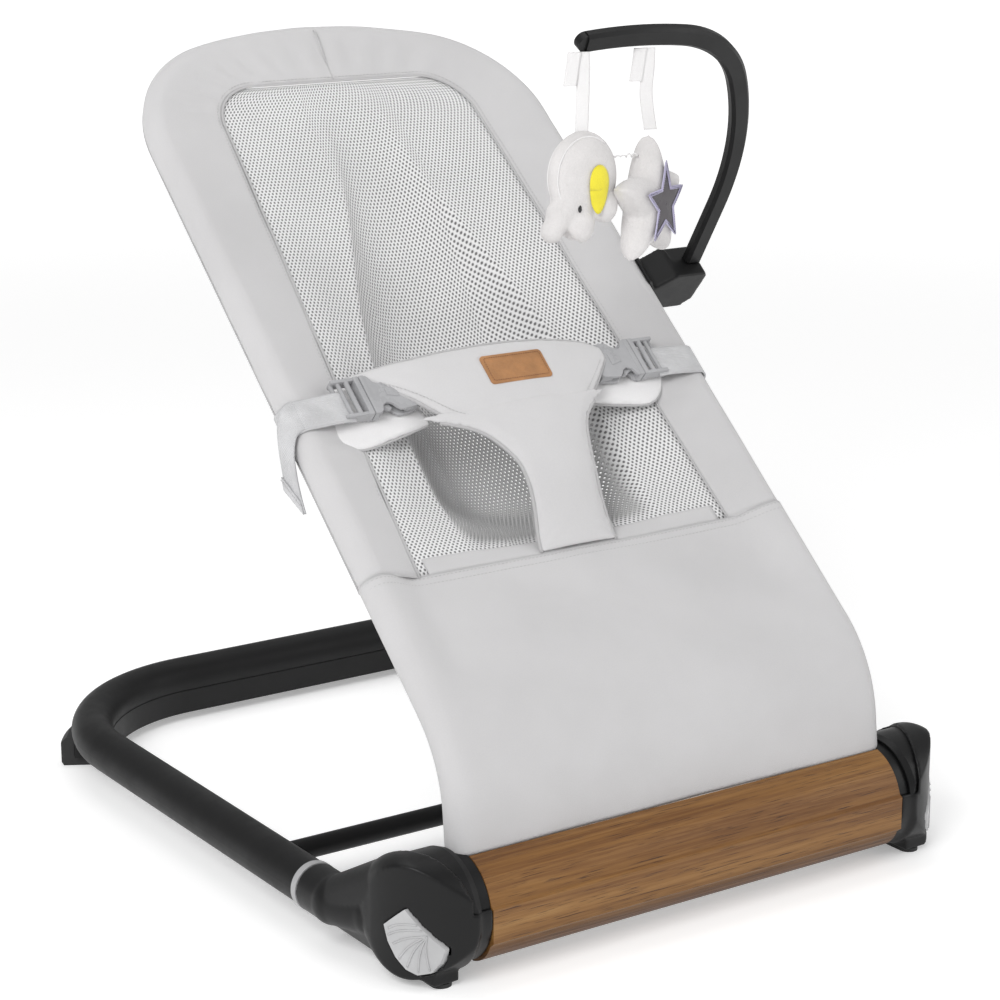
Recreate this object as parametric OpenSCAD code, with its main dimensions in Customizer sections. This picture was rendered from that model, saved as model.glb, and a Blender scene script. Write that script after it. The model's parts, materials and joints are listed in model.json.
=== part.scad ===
// Baby bouncer seat: a folding hammock seat on a low U-shaped base.
// X runs across the seat, Y runs from the front bar to the rear tube, Z is up.
// The origin is on the floor, under the middle of the whole object.

/* [Base] */
// Distance between the centre lines of the two side tubes
base_w = 482; // [470:1:500]
// Outer diameter of the base tube
base_tube_d = 34; // [30:1:36]
// Height of the base tube's centre line
base_tube_z = 36; // [34:1:40]
// Centre line of the rear tube, measured from the front of the wooden bar
rear_y = 606; // [590:1:620]
// Radius of the two rear corners, on the centre line
rear_bend_r = 135; // [110:5:150]
// Place of the grey ring between side tube and hub
ring_y = 143; // [140:1:156]
// Place of the thin cross rod
rod_y = 208; // [190:1:230]
// Diameter of the thin cross rod
rod_d = 16; // [12:1:18]

/* [Hub] */
// Hub axis behind the front of the wooden bar
hub_y = 40; // [39:1:41]
// Hub axis above the floor
hub_z = 48; // [47:1:50]
// Radius of the hub casing
hub_r = 44; // [43:0.5:45]
// Outer face of the hub casing
hub_x = 247; // [246:1:249]
// Half length of the wooden bar
wood_x = 185; // [183:1:186]
// Radius of the wooden bar's rounded top
wood_r = 38; // [37:0.5:38.5]
// Wall of the wooden bar's shell
wood_t = 4.5; // [4:0.5:5]
// Travel of the release buttons
button_travel = 4; // [3:0.5:5]

/* [Seat] */
// Half distance between the rails at the hubs
rail_x = 180.5; // [180:0.5:182]
// Half distance between the rails at the head
head_x = 173; // [170:0.5:175]
// Diameter of the seat's tubes
rail_d = 22; // [20:1:22]
// Slope of the seat above the floor
seat_angle = 41.5; // [40:0.5:43]
// Slope of the lower leg above the floor
leg_angle = 84; // [82:1:86]
// Length of the lower leg, from the hub axis to the knee's corner
leg_len = 100; // [98:1:104]
// Radius of the knee bend
knee_r = 100; // [90:5:105]
// Length of the seat, from the knee's corner to the top of the head hoop
seat_len = 660; // [640:5:670]
// Radius of the head hoop's top
hoop_top_r = 400; // [380:10:450]
// Radius of the head hoop's corners
hoop_corner_r = 92; // [85:1:100]
// Deepest sag of the mesh below the rails
sag = 52; // [40:1:58]
// Place of the seam between front panel and mesh
seam_s = 145; // [138:1:153]

/* [Harness] */
// Width of the webbing
web_w = 25; // [20:1:25]
// Place of the waist pad's centre along the seat
pad_s = 279; // [273:1:288]
// Length of the waist pad along the seat
pad_len = 62; // [50:1:64]
// Half width of the waist pad
pad_x = 84; // [80:1:84]
// Travel of a buckle's male half
buckle_travel = 18; // [16:1:20]

/* [Toys] */
// Lean of the toy arm from the horizontal, seen from the side
arm_angle = 122; // [118:1:126]
// Distance of the toy arm's foot from the middle
arm_x = 232; // [230:1:234]
// Place of the toy arm's foot along the seat
arm_s = 382; // [370:1:395]
// Height of the toy arm's foot above the rail
arm_n = 16; // [14:1:20]
// Length that the arm can be drawn out of its clip
arm_travel = 28; // [20:1:30]
// Length of the toys' tapes
tape_len = 54; // [50:1:60]
// Place of the elephant across the seat
elephant_x = 31; // [26:1:34]
// Place of the star across the seat
star_x = 91; // [88:1:94]

/* [Hidden] */

$fn = 64;
black = "#232323";
grey = "#c9c9cb";
cloth = "#d6d5d6";
oak = "#7d5a38";

rail_r = rail_d / 2;
rod_r = rod_d / 2;
tube_r = base_tube_d / 2;
tube_x = base_w / 2;
tube_wall = 1.5;

// The whole object is drawn from the front of the wooden bar and then centred.
front_y = hub_y - hub_r;
back_y = rear_y + tube_r;
mid_y = (front_y + back_y) / 2;

// Corner point of the knee, where the leg and the seat's line would meet
knee_y = hub_y + leg_len * cos(leg_angle);
knee_z = hub_z + leg_len * sin(leg_angle);
knee_turn = leg_angle - seat_angle;
knee_cut = knee_r * tan(knee_turn / 2);
// Knee seen in the seat's frame, from the hub axis
knee_start = leg_len * cos(knee_turn) + knee_cut;
knee_rise = leg_len * sin(knee_turn);
knee_centre = [
    hub_y + (leg_len - knee_cut) * cos(leg_angle) + knee_r * sin(leg_angle),
    hub_z + (leg_len - knee_cut) * sin(leg_angle) - knee_r * cos(leg_angle)
];

// Head hoop: two corner arcs that meet one wide top arc
hoop_corner_x = head_x - hoop_corner_r;
hoop_turn = asin(hoop_corner_x / (hoop_top_r - hoop_corner_r));
hoop_s = seat_len - hoop_top_r + (hoop_top_r - hoop_corner_r) * cos(hoop_turn);

// The rails lean in a little from the hubs to the head.
hub_s = -leg_len * cos(knee_turn);
taper = atan((rail_x - head_x) / (hoop_s - hub_s));

clear = 0.4;
bend_gap = 0.02;
bush_r = 10;
pivot_r = 8;
drum_x0 = 169;
drum_x1 = 197;
plate_x0 = 206;
plate_x1 = 210;
cavity_x = 231;
button_x = 216;
pivot_end = 228;

function smooth(t) = let (c = min(1, max(0, t))) c * c * (3 - 2 * c);

// Half distance between the rails at a place along the seat
function rail_x_at(s) = rail_x - (s - hub_s) * tan(taper);

// A point of the seat: x across, s along the seat's line, n above the rails' centre plane
function seat_point(x, s, n) = [
    x,
    knee_y + s * cos(seat_angle) - n * sin(seat_angle),
    knee_z + s * sin(seat_angle) + n * cos(seat_angle)
];

// Sag of the cloth at the middle of the seat
seam_sag = 14;
sag_s = 363;
function sag_at(s) = s < sag_s
    ? seam_sag + (sag - seam_sag) * smooth((s - seam_s) / (sag_s - seam_s))
    : sag * (1 - smooth((s - sag_s) / (seat_len - sag_s)));

// Height of the cloth above the rails' plane
edge_n = 5;
edge_gap = 13.5;
function cloth_n(x, s) =
    let (t = min(1, abs(x) / (rail_x_at(s) - edge_gap)))
    edge_n - sag_at(s) * pow(1 - t * t, 0.85);

module placed() {
    translate([0, -mid_y, 0]) children();
}

// Children are drawn with X across, Y along the seat and Z away from it.
module on_seat(x, s, n) {
    translate(seat_point(x, s, n)) rotate([seat_angle, 0, 0]) children();
}

module left_side() {
    mirror([1, 0, 0]) children();
}

// Cylinder along X
module bar_x(x0, x1, y, z, r) {
    translate([x0, y, z]) rotate([0, 90, 0]) cylinder(h = x1 - x0, r = r);
}

// Cylinder along Y
module bar_y(y0, y1, x, z, r) {
    translate([x, y0, z]) rotate([-90, 0, 0]) cylinder(h = y1 - y0, r = r);
}

// Straight rod between two points
module rod(p0, p1, r) {
    d = p1 - p0;
    len = norm(d);
    tilt = acos(d[2] / len);
    turn = atan2(d[1], d[0]);
    translate(p0) rotate([0, tilt, turn]) cylinder(h = len, r = r);
}

// Arc of tube about the local Z axis, from angle a0 through the sweep
module tube_arc(radius, r, a0, sweep, wall) {
    rotate([0, 0, a0]) rotate_extrude(angle = sweep, $fn = 128) translate([radius, 0]) difference() {
        circle(r = r);
        circle(r = r - wall);
    }
}

// Closed sheet over a grid of points, as thick as t along the vector down
module sheet(rows, down) {
    nu = len(rows);
    nv = len(rows[0]);
    top = [for (row = rows) for (p = row) p];
    low = [for (p = top) p + down];
    n = nu * nv;
    quads = [for (i = [0 : nu - 2]) for (j = [0 : nv - 2]) [i * nv + j, i * nv + j + 1, (i + 1) * nv + j + 1, (i + 1) * nv + j]];
    upper = [for (q = quads) for (f = [[q[0], q[1], q[2]], [q[0], q[2], q[3]]]) f];
    lower = [for (f = upper) [f[2] + n, f[1] + n, f[0] + n]];
    rim = concat(
        [for (j = [0 : nv - 2]) [j, j + 1]],
        [for (i = [0 : nu - 2]) [i * nv + nv - 1, (i + 1) * nv + nv - 1]],
        [for (j = [nv - 1 : -1 : 1]) [(nu - 1) * nv + j, (nu - 1) * nv + j - 1]],
        [for (i = [nu - 1 : -1 : 1]) [i * nv, (i - 1) * nv]]
    );
    sides = [for (e = rim) for (f = [[e[1], e[0], e[0] + n], [e[1], e[0] + n, e[1] + n]]) f];
    polyhedron(points = concat(top, low), faces = concat(upper, lower, sides), convexity = 6);
}

// ---- base ----

module side_tube() {
    color(black) placed() difference() {
        bar_y(ring_y + 3, rear_y - rear_bend_r, tube_x, base_tube_z, tube_r);
        bar_y(ring_y, rear_y - rear_bend_r + 1, tube_x, base_tube_z, tube_r - tube_wall);
    }
}

module rear_tube() {
    straight = tube_x - rear_bend_r;
    color(black) placed() {
        for (side = [-1, 1])
            translate([side * straight, rear_y - rear_bend_r, base_tube_z])
                tube_arc(rear_bend_r, tube_r, side > 0 ? 0 : 90, 90, tube_wall);
        difference() {
            bar_x(-straight, straight, rear_y, base_tube_z, tube_r);
            bar_x(-straight - 1, straight + 1, rear_y, base_tube_z, tube_r - tube_wall);
        }
    }
}

module collar_ring() {
    color(grey) placed() bar_y(ring_y - 3, ring_y + 3, tube_x, base_tube_z, tube_r + 1);
}

module cross_rod() {
    color(black) placed() difference() {
        bar_x(-tube_x, tube_x, rod_y, base_tube_z - 1, rod_r);
        for (side = [-1, 1])
            bar_y(rod_y - rod_d, rod_y + rod_d, side * tube_x, base_tube_z, tube_r);
    }
}

// Shoe of plastic that cups the underside of the rear tube
shoe_half = 15.5;
shoe_bottom = 8;
shoe_top = 28;
module shoe_section() {
    difference() {
        translate([-shoe_half, shoe_bottom - base_tube_z]) square([2 * shoe_half, shoe_top - shoe_bottom]);
        circle(r = tube_r + 0.2);
    }
}

module rear_shoe() {
    straight = tube_x - rear_bend_r;
    sweep = 62;
    color(black) placed() {
        for (side = [-1, 1]) {
            translate([side * straight, rear_y - rear_bend_r, base_tube_z])
                rotate([0, 0, side > 0 ? 90 - sweep : 90])
                    rotate_extrude(angle = sweep, $fn = 128) translate([rear_bend_r, 0]) shoe_section();
            translate([side * straight - 3, rear_y - 6, shoe_bottom + 2]) cube([6, 12, 5]);
        }
        translate([bend_gap - straight, rear_y, base_tube_z]) rotate([90, 0, 90])
            linear_extrude(2 * (straight - bend_gap)) shoe_section();
    }
}

// Rubber heel on the outside of a rear corner
module rear_foot() {
    color("#303030") placed()
        translate([tube_x - rear_bend_r, rear_y - rear_bend_r, 0]) rotate([0, 0, 30])
            rotate_extrude(angle = 12, $fn = 128) translate([rear_bend_r, 0]) difference() {
                polygon([[16.2, 0], [25, 0], [27, 3], [27, 20], [22, 25], [16.2, 25], [16.2, 7.4], [-8, 7.4], [-8, 0]]);
                translate([0, base_tube_z]) circle(r = tube_r + 0.3);
            }
}

// What is cut away in front of the hub, so that its outer corner is round when seen from above
corner_at = [176, 66];
corner_r = 71.5;
module corner_cut(grow) {
    difference() {
        translate([corner_at[0], corner_at[1] - 100, -10]) cube([100, 100, 130]);
        translate([corner_at[0], corner_at[1], -20]) cylinder(h = 150, r = corner_r + grow);
    }
}

// Outline of the hub casing as radius against x, swept round the hub axis
module hub_body(grow) {
    fillet = 17;
    r = hub_r + grow;
    outer = hub_x + grow;
    inner = drum_x1 - 3;
    neck = 5;
    points = concat(
        [[0, inner], [wood_r + 1.8, inner], [r, inner + neck]],
        [for (a = [0 : 10 : 90]) [r - fillet + fillet * cos(a), outer - fillet + fillet * sin(a)]],
        [[0, outer]]
    );
    difference() {
        translate([0, hub_y, hub_z]) rotate([0, 90, 0]) rotate_extrude($fn = 128) polygon(points);
        corner_cut(grow);
    }
}

// Wrist that joins the hub to the side tube
module wrist() {
    r = tube_r + 0.8;
    elbow = [tube_x, ring_y - 29, base_tube_z];
    knuckle = [tube_x - 10, 78, base_tube_z + 2];
    translate([tube_x, ring_y - 3, base_tube_z]) rotate([90, 0, 0]) cylinder(h = 26, r = r);
    translate(elbow) sphere(r = r + 0.5);
    rod(elbow, knuckle, r);
    translate(knuckle) sphere(r = r + 0.5);
    rod(knuckle, [tube_x - 20, hub_y, hub_z - 6], r);
}

// Shoulder that slopes from the top of the hub down to the wrist
module shoulder() {
    rod([hub_x - 17.5, hub_y + 16, hub_z + 21.5], [tube_x, ring_y - 29, base_tube_z], 16.4);
}

// Lower housing that stands on the front foot
sole_y1 = 132;
module sole() {
    difference() {
        translate([0, sole_y1, 0]) rotate([90, 0, 0]) linear_extrude(sole_y1 - 14)
            polygon([[204, 3], [223, 3], [238, 13], [245, 28], [245, 40], [204, 40]]);
        corner_cut(0);
    }
}

// The part of the hub that the inner shell covers, above the wooden bar's band
module inner_shell_zone() {
    lean = 23.8;
    translate([226, 56, band_top]) rotate([0, 0, -lean]) translate([-80, -90, 0]) cube([80, 100, 60]);
}

fan_points = [[44, 44], [28.5, 58.5], [7.5, 32], [10, 21.5], [14, 14.5], [21, 12], [28, 15], [35, 22.5], [41, 33]];
fan_centre = [25, 33];
module fan_outline(grow) {
    polygon([for (p = fan_points) p + grow * (p - fan_centre) / norm(p - fan_centre)]);
}

// Prism of the fan-shaped button, from the cavity out past the casing
module fan_prism(x0, grow) {
    translate([x0, 0, 0]) rotate([90, 0, 90]) linear_extrude(hub_x + 10 - x0) fan_outline(grow);
}

screw_places = [[214, 104], [214, 62]];
module screw_holes(r, z0, z1) {
    for (p = screw_places) translate([p[0], p[1], z0]) cylinder(h = z1 - z0, r = r);
}

module hub_hollow() {
    difference() {
        bar_x(plate_x0 - 4, cavity_x, hub_y, hub_z, hub_r - 6);
        corner_cut(-3.5);
    }
    bar_x(drum_x1 - 6, drum_x1 + 1.5, hub_y, hub_z, wood_r + 0.2);
    bar_x(drum_x1 - 1, plate_x0, hub_y, hub_z, 19);
}

module hub_outer_shell() {
    color(black) placed() union() {
        difference() {
            union() {
                hub_body(0);
                wrist();
                shoulder();
                sole();
            }
            inner_shell_zone();
            hub_hollow();
            fan_prism(button_x - button_travel, 0.6);
            screw_holes(2.1, 2, 24);
            screw_holes(4.2, 2, 6);
        }
        // Claw that reaches round the front to the end of the wooden bar
        difference() {
            bar_x(wood_x + 0.5, drum_x1 + 2, hub_y, hub_z, hub_r - 3.5);
            bar_x(wood_x, drum_x1 + 3, hub_y, hub_z, wood_r + 0.3);
            translate([wood_x - 1, hub_y - 33, band_bottom]) cube([20, 90, 70]);
            translate([wood_x - 1, hub_y - 8, 0]) cube([20, 60, 70]);
            translate([wood_x - 1, -10, band_top + 1]) cube([20, 90, 60]);
        }
        // Boss that carries the pivot tube
        difference() {
            bar_x(plate_x1 + 4, cavity_x + 1, hub_y, hub_z, 13);
            bar_x(plate_x1 + 3, pivot_end + 1, hub_y, hub_z, pivot_r);
            fan_prism(button_x - button_travel, 0.6);
        }
    }
}

module hub_inner_shell() {
    color(black) placed() difference() {
        intersection() {
            hub_body(-2.5);
            inner_shell_zone();
        }
        hub_hollow();
    }
}

// Button: a fan-shaped cap that follows the hub's curve, with ribs inside the hollow
module release_button() {
    color(grey) placed() difference() {
        intersection() {
            hub_body(1);
            fan_prism(button_x, 0);
        }
        difference() {
            bar_x(plate_x1, pivot_end + 10, hub_y, hub_z, pivot_r + 1);
            corner_cut(-3);
        }
        intersection() {
            hub_body(-3);
            fan_prism(button_x - 1, -2.5);
        }
    }
}

// Three wave rings that push the button out
module button_spring() {
    color("silver") placed()
        for (i = [0 : 2])
            translate([button_x + 2 + i * 1.4, 24, 27]) rotate([0, 90, 0]) rotate_extrude($fn = 48) translate([4, 0]) circle(r = 0.6, $fn = 16);
}

module pivot_tube() {
    color("silver") placed() difference() {
        bar_x(-pivot_end, pivot_end, hub_y, hub_z, pivot_r);
        bar_x(-pivot_end - 1, pivot_end + 1, hub_y, hub_z, pivot_r - tube_wall);
    }
}

module pivot_bush() {
    color("white") placed() difference() {
        bar_x(drum_x0, plate_x1 + 1.5, hub_y, hub_z, bush_r);
        bar_x(drum_x0 - 1, plate_x1 + 2.5, hub_y, hub_z, pivot_r);
    }
}

// Section of the wooden front bar: rounded top, raised flat band, tucked-in bottom
band_top = 55;
band_bottom = 30;
function wood_outer() = concat(
    [for (a = [106 : 8 : 162]) [hub_y + wood_r * cos(a), hub_z + wood_r * sin(a)]],
    [[2.6, band_top + 1.6], [0, band_top], [0, band_bottom], [2.4, band_bottom - 1.8]],
    [for (a = [202 : 8 : 258]) [32 + 30 * cos(a), 38 + 30 * sin(a)]]
);
function wood_inner() = [for (a = [256 : -10 : 106]) [hub_y + (wood_r - wood_t) * cos(a), hub_z + (wood_r - wood_t) * sin(a)]];

module wood_bar() {
    color(oak) placed() translate([-wood_x, 0, 0]) rotate([90, 0, 90])
        linear_extrude(2 * wood_x) polygon(concat(wood_outer(), wood_inner()));
}

// Plastic channel that stiffens the wooden bar from behind
module wood_bar_backing() {
    r1 = wood_r - wood_t - 0.3;
    r0 = r1 - 1.8;
    points = concat(
        [for (a = [120 : 8 : 248]) [hub_y + r1 * cos(a), hub_z + r1 * sin(a)]],
        [for (a = [248 : -8 : 120]) [hub_y + r0 * cos(a), hub_z + r0 * sin(a)]]
    );
    color(black) placed() translate([-drum_x0 + 2, 0, 0]) rotate([90, 0, 90])
        linear_extrude(2 * drum_x0 - 4) polygon(points);
}

module front_foot() {
    color("#303030") placed() linear_extrude(3) difference() {
        union() {
            translate([206, 22]) square([15, 100]);
            for (y = [22, 122]) translate([213.5, y]) circle(r = 7.5);
        }
        for (p = screw_places) translate(p) circle(r = 4.6);
    }
}

module hub_screws() {
    color("silver") placed() for (side = [-1, 1]) for (p = screw_places)
        translate([side * p[0], p[1], 0]) {
            translate([0, 0, 3]) cylinder(h = 3, r = 3.8);
            translate([0, 0, 6]) cylinder(h = 16, r = 2);
        }
}

// ---- seat ----

drum_core_r = 28;
leg_foot = 14;
// Where the seat rail of one side starts, with its slight lean inwards
module on_rail(side) {
    translate([side * rail_x, hub_y, hub_z]) rotate([seat_angle, 0, 0]) rotate([0, 0, side * taper]) children();
}

// Line of the lower cross tube, just behind the foot of the rails
cross_tube_r = 6;
cross_tube_p = 12;
cross_tube_back = 17.5;
module on_leg(x) {
    translate([x, hub_y, hub_z]) rotate([leg_angle - 90, 0, 0]) translate([0, cross_tube_back, cross_tube_p]) rotate([0, 90, 0])
        children();
}

module seat_drum() {
    color(black) placed() difference() {
        union() {
            bar_x(drum_x0, wood_x + clear, hub_y, hub_z, drum_core_r);
            bar_x(wood_x + clear, drum_x1, hub_y, hub_z, wood_r - 0.5);
            bar_x(drum_x1, plate_x0, hub_y, hub_z, 18);
        }
        bar_x(drum_x0 - 1, plate_x0 + 1, hub_y, hub_z, bush_r + 0.06);
        on_rail(1) rotate([knee_turn - 90, 0, 0]) translate([0, 0, leg_foot]) cylinder(h = drum_core_r + 12, r = rail_r + 0.03);
        on_leg(drum_x0 - 2) cylinder(h = 6, r = cross_tube_r);
    }
}

// Plate with the four catches of the recline positions
module lock_plate() {
    color("silver") placed() difference() {
        bar_x(plate_x0, plate_x1, hub_y, hub_z, 30);
        bar_x(plate_x0 - 1, plate_x1 + 1, hub_y, hub_z, bush_r + 0.06);
        for (i = [0 : 3]) translate([plate_x0 - 1, hub_y, hub_z]) rotate([180 + 14 * i, 0, 0])
            translate([0, 0, 24]) rotate([0, 90, 0]) cylinder(h = 6, r = 2.6);
    }
}

module lower_cross_tube() {
    x0 = drum_x0 + 4;
    color(black) placed() on_leg(-x0) difference() {
        cylinder(h = 2 * x0, r = cross_tube_r);
        translate([0, 0, -1]) cylinder(h = 2 * x0 + 2, r = cross_tube_r - tube_wall);
    }
}

// Seat rail: lower leg, knee bend, long straight and head corner, as one bent tube
leg_end = leg_len - knee_cut;
straight_end = (hoop_s + hoop_corner_r * sin(taper) - hub_s) / cos(taper) + 0.02;
module hollow_rod(len) {
    difference() {
        cylinder(h = len, r = rail_r);
        translate([0, 0, -1]) cylinder(h = len + 2, r = rail_r - tube_wall);
    }
}

// Sleeve inside the tube where a bend starts
sleeve_len = 6;
module bend_sleeve() {
    difference() {
        cylinder(h = sleeve_len, r = rail_r - 0.6, center = true);
        cylinder(h = sleeve_len + 2, r = rail_r - tube_wall - 0.8, center = true);
    }
}

module seat_rail(side) {
    corner_turn = 90 - hoop_turn - taper;
    color(black) placed() on_rail(side) {
        rotate([knee_turn - 90, 0, 0]) {
            translate([0, 0, leg_foot]) hollow_rod(leg_end - leg_foot);
            translate([0, 0, leg_end]) bend_sleeve();
        }
        translate([0, knee_start, knee_rise - knee_r]) rotate([90, 0, 90]) tube_arc(knee_r, rail_r, 90, knee_turn, tube_wall);
        translate([0, knee_start, knee_rise]) rotate([-90, 0, 0]) {
            bend_sleeve();
            hollow_rod(straight_end - knee_start - bend_gap);
            translate([0, 0, straight_end - knee_start]) bend_sleeve();
        }
        translate([-side * hoop_corner_r, straight_end, knee_rise])
            tube_arc(hoop_corner_r, rail_r, side > 0 ? 0 : 180 - corner_turn, corner_turn, tube_wall);
    }
}

module head_hoop() {
    color(black) placed() on_seat(0, seat_len - hoop_top_r, 0)
        tube_arc(hoop_top_r, rail_r, 90 - hoop_turn, 2 * hoop_turn, tube_wall);
}

// A point of the front panel: p along the leg and round the knee from the hub axis, n in front of the rails
knee_end = leg_end + knee_r * knee_turn * PI / 180;
function panel_point(x, p, n) =
    p < leg_end ? [x, hub_y + p * cos(leg_angle) - n * sin(leg_angle), hub_z + p * sin(leg_angle) + n * cos(leg_angle)] :
    p > knee_end ? seat_point(x, knee_cut + p - knee_end, n) :
    let (a = leg_angle - (p - leg_end) / knee_r * 180 / PI)
    [x, knee_centre[0] - (knee_r + n) * sin(a), knee_centre[1] + (knee_r + n) * cos(a)];

cloth_t = 2;
seat_down = cloth_t * [0, sin(seat_angle), -cos(seat_angle)];
seam_gap = 0.5;
panel_p0 = 36.8;
panel_p1 = knee_end + seam_s - knee_cut - seam_gap;

panel_n = 13;
module front_panel() {
    steps = 26;
    edge = rail_x + 9;
    dip = 20;
    flat = 0.86;
    rows = [for (i = [0 : steps]) let (p = panel_p0 + (panel_p1 - panel_p0) * i / steps, f = smooth((p - leg_end) / (panel_p1 - leg_end)))
        [for (t = [-1, -0.95, -flat, -0.7, -0.5, -0.25, 0, 0.25, 0.5, 0.7, flat, 0.95, 1])
            panel_point(-edge * t, p, panel_n - f * dip * (abs(t) < flat ? 1 - pow(t / flat, 2) : 0))]];
    color(cloth) placed() sheet(rows, [0, 1.1, -0.9]);
}

// Half width of the mesh, with round top corners
mesh_top = 611;
mesh_corner_r = 42;
function mesh_side(s) = 141 - (s - seam_s) * 0.055;

module mesh_panel() {
    s0 = seam_s + seam_gap;
    s1 = mesh_top - seam_gap;
    steps = 28;
    rows = [for (i = [0 : steps]) let (
            s = s0 + (s1 - s0) * sin(90 * i / steps),
            over = max(0, s - (mesh_top - mesh_corner_r)),
            half = mesh_side(s) - seam_gap - (mesh_corner_r - sqrt(max(0, mesh_corner_r * mesh_corner_r - over * over))))
        [for (j = [-6 : 6]) let (x = -half * j / 6) seat_point(x, s, cloth_n(x, s))]];
    color("#ecebec") placed() sheet(rows, seat_down);
}

module seat_border() {
    s0 = seam_s + seam_gap;
    s1 = mesh_top - mesh_corner_r;
    half = mesh_side(s1) - mesh_corner_r;
    inner = concat(
        [for (i = [0 : 12]) let (s = s0 + (s1 - s0) * i / 12) [mesh_side(s), s]],
        [for (i = [1 : 6]) [half + mesh_corner_r * cos(15 * i), s1 + mesh_corner_r * sin(15 * i)]],
        [for (i = [1 : 4]) [half * (1 - i / 4), mesh_top]]
    );
    outer = concat(
        [for (i = [0 : 12]) let (s = s0 + (hoop_s - s0) * i / 12) [rail_x_at(s) - edge_gap, s]],
        [for (i = [1 : 6]) let (a = (90 - hoop_turn) * i / 6) [
            hoop_corner_x + (hoop_corner_r - edge_gap) * cos(a), hoop_s + (hoop_corner_r - edge_gap) * sin(a)]],
        [for (i = [1 : 4]) let (a = 90 - hoop_turn * (1 - i / 4)) [
            (hoop_top_r - edge_gap) * cos(a), seat_len - hoop_top_r + (hoop_top_r - edge_gap) * sin(a)]]
    );
    last = len(inner) - 1;
    right = [for (k = [0 : last]) [for (j = [0 : 4]) let (q = inner[k] + (outer[k] - inner[k]) * j / 4)
        seat_point(q[0], q[1], cloth_n(q[0], q[1]))]];
    left = [for (k = [last - 1 : -1 : 0]) [for (p = right[k]) [-p[0], p[1], p[2]]]];
    color(cloth) placed() sheet(concat(right, left), seat_down);
}

// ---- harness ----

pad_crown = 30;
pad_drop = 14;
pad_t = 12;
module waist_pad() {
    arch = [for (x = [-pad_x : 12 : pad_x]) [x, pad_crown - pad_drop * pow(x / pad_x, 2)]];
    color(cloth) placed() on_seat(0, pad_s + pad_len / 2, 0) rotate([90, 0, 0]) linear_extrude(pad_len)
        polygon(concat(arch, [for (i = [len(arch) - 1 : -1 : 0]) arch[i] - [0, pad_t]]));
}

strip_half = 32;
module crotch_strip() {
    s1 = pad_s - pad_len / 2 - clear;
    s0 = seam_s + 6;
    color(cloth) placed() on_seat(-strip_half, 0, 0) rotate([90, 0, 90]) linear_extrude(2 * strip_half)
        polygon([[s1, 29], [s1, 23], [205, 26], [185, 17], [163, 6], [s0, -2], [s0, 3], [160, 13], [185, 24], [205, 31]]);
}

// Small stitched patch of leather, left blank
module maker_patch() {
    color("#c4804a") placed() on_seat(0, pad_s + 6, pad_crown + clear) linear_extrude(1.6) union() {
        square([56, 18], center = true);
        square([50, 24], center = true);
        for (sx = [-1, 1]) for (sy = [-1, 1]) translate([25 * sx, 9 * sy]) circle(r = 3);
    }
}

// Soft roll under each buckle
module bolster() {
    color(cloth) placed() on_seat(0, web_s + 5, 0) rotate([90, 0, 0]) linear_extrude(42)
        polygon([[97, 0], [99, 4], [110, 7], [132, 7], [146, 3], [146, -1], [120, -4], [104, -4]]);
}

web_s = 290;
web_t = 1.3;
web_r = rail_r + 1.6;
module webbing() {
    x0 = rail_x_at(web_s);
    color("#d9d9db") placed() on_seat(0, web_s + web_w / 2, 0) rotate([90, 0, 0]) linear_extrude(web_w) union() {
        translate([x0, 0]) difference() {
            circle(r = web_r + web_t);
            circle(r = web_r);
        }
        translate([x0 - 5, web_r]) square([5, web_t]);
    }
}

tail_len = 52;
module webbing_tail() {
    x0 = rail_x_at(web_s) + web_r + web_t + clear;
    color("#d9d9db") placed() on_seat(0, web_s + web_w / 2, 0) rotate([90, 0, 0]) linear_extrude(web_w) union() {
        translate([x0, -tail_len]) square([web_t, tail_len]);
        translate([x0, -tail_len - web_t]) square([2.6 * web_t, 9]);
    }
}

buckle_n = 8;
buckle_t = 10;
buckle_w = 34;
socket_x0 = 86;
socket_x1 = 122;
module buckle_socket() {
    color("#dcdcde") placed() on_seat(0, web_s, buckle_n) difference() {
        translate([socket_x0, -buckle_w / 2, 0]) cube([socket_x1 - socket_x0, buckle_w, buckle_t]);
        translate([socket_x0 + 8, -12, 2]) cube([socket_x1 - socket_x0, 24, buckle_t - 4]);
        translate([socket_x1 - 19, -buckle_w, 3]) cube([9, 2 * buckle_w, buckle_t - 6]);
        translate([socket_x0 + 2.5, -12.5, -1]) cube([3.2, 25, buckle_t + 2]);
    }
}

// The male half stays clear of the webbing when it is drawn out
plug_x1 = 164 - buckle_travel;
module buckle_plug() {
    color("#dcdcde") placed() on_seat(0, web_s, buckle_n) union() {
        difference() {
            translate([socket_x1 + clear, -buckle_w / 2, 1]) cube([plug_x1 - socket_x1 - clear, buckle_w, buckle_t - 2]);
            for (x = [socket_x1 + 6, socket_x1 + 14])
                translate([x, -12.7, 0]) cube([5, 25.4, buckle_t]);
        }
        for (side = [-1, 1]) translate([socket_x1 - 17, side * 9 - 2, 3]) cube([19, 4, buckle_t - 6]);
        translate([socket_x1 - 15, -2.5, 3.5]) cube([17, 5, buckle_t - 7]);
    }
}

// ---- toy arm and toys ----

module on_arm() {
    placed() translate(seat_point(arm_x, arm_s, arm_n)) rotate([arm_angle - 90, 0, 0]) children();
}

arm_w = 16;
arm_t = 10;
spigot = [11, 7, arm_travel + 4];
arm_chamfer = 2.5;
module arm_section() {
    a = arm_w / 2;
    b = arm_t / 2;
    c = arm_chamfer;
    polygon([[a, c - b], [a, b - c], [a - c, b], [c - a, b], [-a, b - c], [-a, c - b], [c - a, -b], [a - c, -b]]);
}

// Core that ties two lengths of the arm together inside
module arm_core() {
    translate([0, 0, -2]) linear_extrude(4) square([arm_w / 2, arm_t / 2], center = true);
}

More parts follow.
